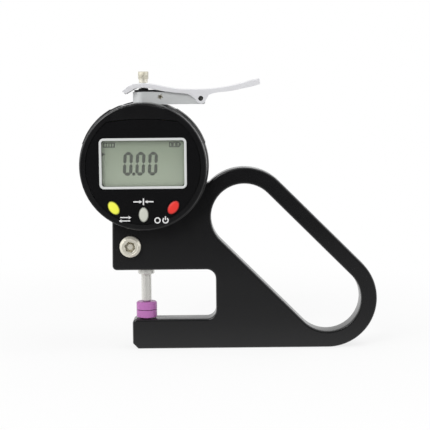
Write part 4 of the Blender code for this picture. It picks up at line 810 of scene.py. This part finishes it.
class GAUGE_OT_display(GaugeOperator, bpy.types.Operator):
    """Fit the window trim, the window and the display with its reading"""

    bl_idname = "gauge.display"
    bl_label = "Display"

    # A ruler and a battery made of bars with place, width and height, in millimetres
    SYMBOLS = (
        (-16.0, 100.3, 5.6, 0.5), (-16.0, 98.4, 5.6, 0.5), (-18.5, 99.35, 0.6, 2.3),
        (-17.25, 99.35, 0.5, 1.6), (-16.0, 99.35, 0.5, 1.6), (-14.75, 99.35, 0.5, 1.6),
        (-13.5, 99.35, 0.6, 2.3),
        (14.9, 100.35, 5.0, 0.5), (14.9, 98.35, 5.0, 0.5), (12.65, 99.35, 0.5, 2.4),
        (17.15, 99.35, 0.5, 2.4), (17.7, 99.35, 0.6, 1.1), (13.95, 99.35, 1.2, 1.3),
        (15.85, 99.35, 1.2, 1.3))
    # A small triangle at the left edge: place and radius
    POINTER = (-18.9, 95.0, 1.1)

    def execute(self, context):
        low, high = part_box("window_trim")
        corner, border, rounding = 2.3 * MM, 1.2 * MM, 0.35 * MM
        trim = rectangle(high.x - low.x, high.z - low.z, corner)
        inner = trim.faces[:]
        bmesh.ops.inset_region(
            trim, faces=inner, thickness=border, use_even_offset=True, use_boundary=True)
        bmesh.ops.delete(trim, geom=inner, context="FACES")
        solid_from(trim, high.y - low.y)
        break_edges(trim, rounding, 4, 50, lambda e: min(v.co.z for v in e.verts) > 0)
        face_reader(trim, 0.0, (high.z + low.z) / 2, -high.y)
        piece("moulded_trim", trim, "frame", "white_plastic", white_abs(), "window_trim")
        pane = round_arcs(merged_copy("display_window"), 1)
        piece("clear_window", pane, "frame", "clear_lens", clear_acrylic(), "display_window")
        panel = merged_copy("lcd_panel")
        piece("crystal_glass", panel, "frame", "lcd_glass", display_glass(), "lcd_panel")
        self.show_reading(context.scene.gauge_sizes, -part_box("lcd_panel")[0].y)
        return {"FINISHED"}

    def show_reading(self, sizes, forward):
        """Draws three slanted noughts, the point and small symbols on the glass."""
        height, thick = sizes.print_height, sizes.stroke
        half_across = (sizes.digit_width - thick) / 2
        reach = (sizes.digit_height - thick) / 2
        gap, lean = 0.12 * MM, 0.055
        across, up = -1.3 * MM, 90.4 * MM

        def segment(x, z, long, turn=0.0):
            """A bar with pointed ends."""
            work = bmesh.new()
            end, half = long / 2, thick / 2
            work.faces.new([work.verts.new((a, b, 0)) for a, b in (
                (-end, 0), (half - end, -half), (end - half, -half), (end, 0), (end - half, half),
                (half - end, half))])
            return mark(work, height, x, z, turn)

        point = rectangle(thick, thick, thick / 3, 3)
        shapes = [mark(point, height, -sizes.digit_pitch / 2, -reach)]
        for number in (-1, 0, 1):
            x = number * sizes.digit_pitch
            for level in (-1, 1):
                shapes.append(segment(x, level * reach, 2 * half_across - gap))
                for side in (-1, 1):
                    shapes.append(
                        segment(x + side * half_across, level * reach / 2, reach - gap, QUARTER))
        reading = gather(shapes)
        slant = Matrix(((1, lean, 0), (0, 1, 0), (0, 0, 1))).to_4x4()
        bmesh.ops.transform(reading, matrix=slant, verts=reading.verts)
        face_reader(reading, across, up, forward)
        symbols = [
            mark(rectangle(wide * MM, tall * MM), height, x * MM, z * MM)
            for x, z, wide, tall in self.SYMBOLS]
        x, z, radius = self.POINTER
        symbols.append(mark(disc(radius * MM, 3), height, x * MM, z * MM, -QUARTER))
        drawn = gather([reading, face_reader(gather(symbols), 0.0, 0.0, forward)])
        piece("display_reading", drawn, "frame", "lcd_glass", crystal_segments())


class GAUGE_OT_buttons(GaugeOperator, bpy.types.Operator):
    """Mould the three rubber buttons"""

    bl_idname = "gauge.buttons"
    bl_label = "Buttons"

    def execute(self, context):
        crown = context.scene.gauge_sizes.crown
        tilt = math.radians(36.0)
        across, up = 5.3 * MM, 7.83 * MM
        flange, step = 0.8 * MM, 0.36 * MM
        for setting, turn in (("yellow", tilt), ("grey", 0.0), ("red", -tilt)):
            node = setting + "_button"
            low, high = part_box(node)
            work = disc(0.5, 48)
            bmesh.ops.scale(work, vec=(across, up, 1), verts=work.verts)
            upper = raise_faces(work, work.faces[:], flange)
            bmesh.ops.recalc_face_normals(work, faces=work.faces)
            bmesh.ops.inset_region(work, faces=upper, thickness=step, use_even_offset=True)
            upper = raise_faces(work, upper, high.y - low.y - flange - crown)
            dome(work, upper, spread=0.8, height=crown, steps=9)
            bmesh.ops.rotate(work, cent=(0, 0, 0), matrix=Matrix.Rotation(turn, 3, "Z"), verts=work.verts)
            bmesh.ops.recalc_face_normals(work, faces=work.faces)
            face_reader(work, (low.x + high.x) / 2, (low.z + high.z) / 2, -high.y)
            # Each button's rubber carries painted shade that darkens the dome towards its rim
            rubber = silicone_with_painted_rim_shade(setting, low.y + 0.2 * crown, low.y + 0.8 * crown)
            piece(setting + "_key", work, node, setting + "_rubber", rubber, node)
        return {"FINISHED"}


class GAUGE_OT_bracket(GaugeOperator, bpy.types.Operator):
    """Cast the bracket, with a black pad that paints the shade under the lever, its screw and the lever's
    pin
    """

    bl_idname = "gauge.bracket"
    bl_label = "Bracket"

    def execute(self, context):
        work = round_arcs(round_arcs(merged_copy("lever_bracket"), 2), 1)
        break_edges(work, context.scene.gauge_sizes.edge, 2, 60)
        piece("cast_bracket", work, "frame", "aluminium", cast_aluminium(), "lever_bracket")
        self.lay_shade_pad(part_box("lever_bracket")[1].z)
        self.turn_screw()
        self.rivet_pin()
        return {"FINISHED"}

    def lay_shade_pad(self, top):
        """A thin black pad on top of the bracket, under the lever: painted shade for the dark gap between
        them.
        """
        length, width, corner = 15.0 * MM, 9.0 * MM, 1.2 * MM
        thickness, edge, middle = 0.9 * MM, 0.2 * MM, 3.3 * MM
        work = solid_from(rectangle(length, width, corner), thickness)
        break_edges(work, edge)
        bmesh.ops.translate(work, vec=(middle, 0, top), verts=work.verts)
        piece("rest_buffer", work, "frame", "black_plastic", black_acetal())

    def turn_screw(self):
        """The set screw that holds the bracket, with a hex recess."""
        low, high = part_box("bracket_screw")
        radius = (high.x - low.x) / 2
        edge, recess, deep = 0.2 * MM, 0.75 * MM, 2.25 * MM
        work = turned([
            (0, low.y), (radius, low.y), (radius, high.y - edge), (radius - edge, high.y), (0, high.y)], 40)
        work = carve(work, cutter(recess, 2 * deep, Matrix.Translation((0, 0, high.y)), 6))
        face_reader(work, (low.x + high.x) / 2, (low.z + high.z) / 2)
        piece("socket_set_screw", work, "frame", "steel", nickel_plating(), "bracket_screw")

    def rivet_pin(self):
        """The lever's pin, with a dimple in each end."""
        half = (PIN_HIGH.y - PIN_LOW.y) / 2
        radius = (PIN_HIGH.x - PIN_LOW.x) / 2
        edge, dimple, rim = 0.2 * MM, 0.55 * MM, 0.65 * MM
        side, floor = half - 0.3 * MM, half - 0.5 * MM
        work = turned([
            (0, floor), (dimple, side), (rim, half), (radius - edge, half), (radius, half - edge),
            (radius, edge - half), (radius - edge, -half), (rim, -half), (dimple, -side), (0, -floor)], 40)
        face_reader(work, PIVOT.x, PIVOT.z)
        piece("riveted_pin", work, "frame", "steel", black_oxide(), "lever_pin")


class GAUGE_OT_lever(GaugeOperator, bpy.types.Operator):
    """Bend the lifting lever from sheet"""

    bl_idname = "gauge.lever"
    bl_label = "Lever"

    # The lever's upper and lower lines from the pin, in millimetres
    UPPER = (
        (-37.48, 3.80), (-35.31, 5.64), (-32.89, 6.91), (-29.95, 7.30), (-25.47, 7.30), (-22.03, 6.81),
        (-19.58, 6.23), (-14.71, 5.26), (-9.85, 4.58), (-4.87, 4.38), (0.0, 4.38), (4.79, 4.58),
        (9.69, 5.16), (14.50, 5.93), (19.29, 7.10), (24.19, 8.47), (28.0, 9.25))
    LOWER_FORK = (
        (-35.83, 2.14), (-32.89, 3.89), (-29.95, 5.16), (-24.97, 5.06), (-22.03, 4.38), (-17.16, 3.41),
        (-12.27, 2.72), (-6.38, 2.04), (-3.93, 0.78))
    LOWER_THUMB = (
        (3.92, 1.66), (7.31, 2.63), (14.50, 3.41), (19.29, 4.38), (24.19, 5.35), (28.28, 6.52))

    @staticmethod
    def follow(points, x):
        """The height at a distance along a line of points, joined smoothly."""
        last = len(points) - 2
        i = max(0, min(last, sum(1 for p in points if p[0] <= x) - 1))
        (x0, z0), (x1, z1) = points[i], points[i + 1]
        before = points[max(0, i - 1)]
        after = points[min(last + 1, i + 2)]
        share = (x - x0) / (x1 - x0)
        start = (z1 - before[1]) / (x1 - before[0]) * (x1 - x0)
        end = (after[1] - z0) / (after[0] - x0) * (x1 - x0)
        return curve(share, z0, start, z1, end)

    def stations(self):
        """Pairs of a lower and an upper point along the lever, in millimetres from the pin."""
        def line(points, steps):
            first, last = points[0][0], points[-1][0]
            places = [first + (last - first) * i / steps for i in range(steps + 1)]
            return [(x, self.follow(points, x)) for x in places]

        ear = 2.6
        angles = [math.radians(190 + 160 * i / 12) for i in range(13)]
        lower = line(self.LOWER_FORK, 44)
        lower += [(ear * math.cos(a), ear * math.sin(a)) for a in angles]
        lower += line(self.LOWER_THUMB, 32)
        fork_end, thumb_end = lower[0][0], lower[-1][0]
        fork_lean, fork_length, thumb_lean, thumb_length = 1.65, 6, 0.28, 4
        pairs = []
        for x, z in lower:
            near_fork = max(0.0, 1 - (x - fork_end) / fork_length)
            near_thumb = max(0.0, 1 - (thumb_end - x) / thumb_length)
            above = x - fork_lean * near_fork ** 2 - thumb_lean * near_thumb ** 2
            pairs.append(((x, z), (above, self.follow(self.UPPER, above))))
        return pairs

    def execute(self, context):
        sheet = context.scene.gauge_sizes.sheet
        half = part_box("lever")[1].y
        inner = half - sheet
        rounding = 0.22 * MM
        work = bmesh.new()
        face = previous = None
        for (x0, z0), (x1, z1) in self.stations():
            foot = PIVOT + Vector((x0, 0, z0)) * MM
            top = PIVOT + Vector((x1, 0, z1)) * MM
            under = top + (foot - top).normalized() * sheet
            places = [at + Vector((0, y, 0)) for at, y in (
                (foot, -half), (top, -half), (top, half), (foot, half),
                (foot, inner), (under, inner), (under, -inner), (foot, -inner))]
            if face is None:
                face = work.faces.new([work.verts.new(p) for p in places])
            else:
                face = raise_faces(work, [face], 0)[0]
                for vertex in face.verts:
                    number = min(range(8), key=lambda i: (previous[i] - vertex.co).length)
                    vertex.co = places[number]
            previous = places
        bmesh.ops.recalc_face_normals(work, faces=work.faces)
        break_edges(work, rounding, 3, 50)
        self.cut_fork_and_hole(work)
        return {"FINISHED"}

    def cut_fork_and_hole(self, work):
        """Cuts the slot that the spindle passes through and the pin's hole."""
        slot_half, slot_length, hole = 1.45 * MM, 14 * MM, 1.2 * MM
        tall, wide = 20 * MM, 30 * MM
        slot = solid_from(rectangle(slot_length, 2 * slot_half), tall)
        bmesh.ops.translate(slot, vec=(-slot_length / 2, 0, PIVOT.z), verts=slot.verts)
        work = carve(work, slot)
        work = carve(work, cutter(slot_half, tall, Matrix.Translation((0, 0, PIVOT.z + tall / 2))))
        work = carve(work, cutter(hole, wide, Matrix.Translation(PIVOT) @ Matrix.Rotation(QUARTER, 4, "X")))
        piece("bent_lever", work, "lever", "aluminium", plated_sheet(), "lever")


class GAUGE_OT_inside(GaugeOperator, bpy.types.Operator):
    """Give the pieces inside their finishes"""

    bl_idname = "gauge.inside"
    bl_label = "Inside"

    def execute(self, context):
        for finish, nodes in (
                (printed_board(), ("main_board", "scale_plate")),
                (chip_epoxy(), ("controller_chip",)),
                (soft_silicone(), ("lcd_connector_upper", "lcd_connector_lower", "button_pad")),
                (plain_brass(), (
                    "battery_contact_centre", "battery_contact_edge", "stem_bush", "slider_block")),
                (nickel_plating(), ("battery_cell",)),
                (ground_steel(), ("anvil_stud", "contact_stud", "guide_pin")),
                (black_oxide(), ("anvil_set_screw", "slider_screw"))):
            for node in nodes:
                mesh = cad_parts[node].data
                mesh.materials.clear()
                mesh.materials.append(finish)
        spring = piece(
            "coiled_return_spring", merged_copy("return_spring"), "frame", "spring_steel", nickel_plating(),
            "return_spring")
        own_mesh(spring)
        return {"FINISHED"}


class GAUGE_OT_stage(GaugeOperator, bpy.types.Operator):
    """Set the floor, the lamps, the background and the camera"""

    bl_idname = "gauge.stage"
    bl_label = "Stage"

    def execute(self, context):
        self.lay_floor(context)
        self.hang_lamps(context)
        self.set_background(context)
        self.place_camera(context)
        return {"FINISHED"}

    def trace_rays(self, tree):
        """The kinds of ray, and whether one comes from the camera, straight or through the window."""
        rays = add_node(tree, "LightPath").outputs
        seen = add_node(
            tree, "Math", {"operation": "MAXIMUM"},
            links={0: rays["Is Camera Ray"], 1: rays["Is Transmission Ray"]})
        return rays, seen

    def lay_floor(self, context):
        """A wide floor that shows white to the camera, keeps a soft shadow, and mirrors darker in front."""
        half, front, drop = 2.5, -0.36, 0.05 * MM
        work = bmesh.new()
        bmesh.ops.create_grid(work, x_segments=8, y_segments=8, size=half)
        bmesh.ops.translate(work, vec=(0, half + front, -drop), verts=work.verts)
        mesh = as_mesh("studio_floor", work)
        material = bpy.data.materials.new("white_paper")
        material.use_nodes = True
        tree = material.node_tree
        shader = tree.nodes["Principled BSDF"]
        shader.inputs["Base Color"].default_value = shade(context.scene.gauge_colours.floor, 0.9)
        shader.inputs["Roughness"].default_value = 0.9
        shader.inputs["Specular IOR Level"].default_value = 0.0
        rays, looked_at = self.trace_rays(tree)
        place = add_node(tree, "TexCoord").outputs["Object"]
        away = add_node(tree, "VectorMath", {"operation": "LENGTH"}, links={0: place}).outputs["Value"]
        # Near the gauge a fifth of what the camera sees is the paper with its shadow, far off none
        fade = add_node(
            tree, "MapRange", SMOOTH,
            {"From Min": 0.10, "From Max": 0.32, "To Min": 0.80, "To Max": 1.0}, {"Value": away})
        share = add_node(tree, "Math", {"operation": "MULTIPLY"}, links={0: looked_at, 1: fade})
        share = add_node(tree, "Math", {"operation": "MAXIMUM"}, links={0: share, 1: rays["Is Glossy Ray"]})
        forward = add_node(tree, "SeparateXYZ", links={"Vector": place}).outputs["Y"]
        behind = add_node(
            tree, "MapRange", SMOOTH,
            {"From Min": -0.12, "From Max": 0.05, "To Min": 0.45, "To Max": 1.0}, {"Value": forward})
        strength = add_node(tree, "Math", {"operation": "MAXIMUM"}, links={0: looked_at, 1: behind})
        glow = add_node(tree, "Emission", values={"Color": WHITE}, links={"Strength": strength})
        mix = add_node(tree, "MixShader", links={0: share, 1: shader, 2: glow})
        tree.links.new(mix.outputs["Shader"], tree.nodes["Material Output"].inputs["Surface"])
        mesh.materials.append(material)
        floor = add_object("studio_floor", mesh)

    def hang_lamps(self, context):
        """Soft boxes above, on both sides, and in front on the left: metres and watts."""
        target = Vector((35 * MM, 0, 65 * MM))
        for name, spot, across, up, power in (
                ("overhead", (0.45, -0.15, 1.15), 0.7, 0.5, 3.0),
                ("left_side", (-1.00, -0.35, 0.55), 0.8, 1.0, 3.4),
                ("right_side", (1.05, -0.30, 0.50), 0.8, 1.0, 2.6),
                ("front_left", (-0.55, -1.05, 0.80), 0.6, 0.6, 7.6)):
            lamp = bpy.data.lights.new(name, "AREA")
            lamp.shape = "RECTANGLE"
            lamp.size = across
            lamp.size_y = up
            lamp.energy = power
            obj = add_object(name, lamp)
            obj.location = spot
            obj.rotation_euler = (target - Vector(spot)).to_track_quat("-Z", "Y").to_euler()

    def set_background(self, context):
        """White for the camera, half as strong as light; in reflections black in front and dim overhead."""
        world = bpy.data.worlds.new("studio")
        context.scene.world = world
        world.use_nodes = True
        tree = world.node_tree
        lit = tree.nodes["Background"]
        lit.inputs["Color"].default_value = WHITE
        lit.inputs["Strength"].default_value = 0.5
        way = add_node(tree, "TexCoord").outputs["Generated"]
        axes = add_node(tree, "SeparateXYZ", links={"Vector": way}).outputs
        aside = add_node(
            tree, "MapRange", SMOOTH,
            {"From Min": -0.97, "From Max": -0.80, "To Min": 0.0, "To Max": 1.0}, {"Value": axes["Y"]})
        overhead = add_node(
            tree, "MapRange", SMOOTH,
            {"From Min": 0.05, "From Max": 0.50, "To Min": 1.0, "To Max": 0.6}, {"Value": axes["Z"]})
        rays, seen = self.trace_rays(tree)
        mirrored = add_node(
            tree, "Math", {"operation": "MULTIPLY"}, links={0: rays["Is Glossy Ray"], 1: aside})
        mirrored = add_node(tree, "Math", {"operation": "MULTIPLY"}, links={0: mirrored, 1: overhead})
        seen = add_node(tree, "Math", {"operation": "MAXIMUM"}, links={0: seen, 1: mirrored})
        white = add_node(tree, "Background", values={"Color": WHITE}, links={"Strength": seen})
        looked_at = add_node(
            tree, "Math", {"operation": "SUBTRACT"}, {0: 1.0}, {1: rays["Is Diffuse Ray"]})
        mix = add_node(tree, "MixShader", links={0: looked_at, 1: lit, 2: white})
        tree.links.new(mix.outputs["Shader"], tree.nodes["World Output"].inputs["Surface"])

    def place_camera(self, context):
        """A camera a little above the gauge that frames it as the photograph does."""
        place = Vector((34.6, -635.0, 132.0)) * MM
        target = Vector((33.7, 0.0, 64.35)) * MM
        roll = math.radians(-0.575)
        focal_pixels, frame_pixels = 1319.0, 430
        camera = bpy.data.cameras.new("reader_view")
        camera.sensor_width = 36
        camera.lens = focal_pixels * camera.sensor_width / frame_pixels
        camera.clip_start = 0.01
        camera.clip_end = 20
        obj = add_object("reader_view", camera)
        obj.location = place
        aim = (target - place).to_track_quat("-Z", "Y") @ Quaternion((0, 0, 1), roll)
        obj.rotation_euler = aim.to_euler()
        context.scene.camera = obj
        context.scene.view_settings.view_transform = "Standard"


STEPS = (
    GAUGE_OT_stage, GAUGE_OT_frame, GAUGE_OT_clamp_screw, GAUGE_OT_contacts, GAUGE_OT_spindle, GAUGE_OT_knob,
    GAUGE_OT_head, GAUGE_OT_label, GAUGE_OT_display, GAUGE_OT_buttons, GAUGE_OT_bracket, GAUGE_OT_lever,
    GAUGE_OT_inside)


class GAUGE_PT_panel(bpy.types.Panel):
    """Lists the steps that dress the gauge"""

    bl_idname = "GAUGE_PT_panel"
    bl_label = "Thickness gauge"
    bl_space_type = "VIEW_3D"
    bl_region_type = "UI"
    bl_category = "Gauge"

    def draw(self, context):
        for step in STEPS:
            self.layout.operator(step.bl_idname)


CLASSES = (GaugeColours, GaugeSizes, *STEPS, GAUGE_PT_panel)


def register():
    """Registers the classes and the settings."""
    for kind in CLASSES:
        bpy.utils.register_class(kind)
    bpy.types.Scene.gauge_colours = PointerProperty(type=GaugeColours)
    bpy.types.Scene.gauge_sizes = PointerProperty(type=GaugeSizes)


def unregister():
    """Takes the classes and the settings away again."""
    del bpy.types.Scene.gauge_sizes
    del bpy.types.Scene.gauge_colours
    for kind in reversed(CLASSES):
        bpy.utils.unregister_class(kind)


def main():
    """Dresses the gauge step by step."""
    register()
    bpy.ops.gauge.stage()
    bpy.ops.gauge.frame()
    bpy.ops.gauge.clamp_screw()
    bpy.ops.gauge.contacts()
    bpy.ops.gauge.spindle()
    bpy.ops.gauge.knob()
    bpy.ops.gauge.head()
    bpy.ops.gauge.label()
    bpy.ops.gauge.display()
    bpy.ops.gauge.buttons()
    bpy.ops.gauge.bracket()
    bpy.ops.gauge.lever()
    bpy.ops.gauge.inside()


if __name__ == "__main__":
    main()
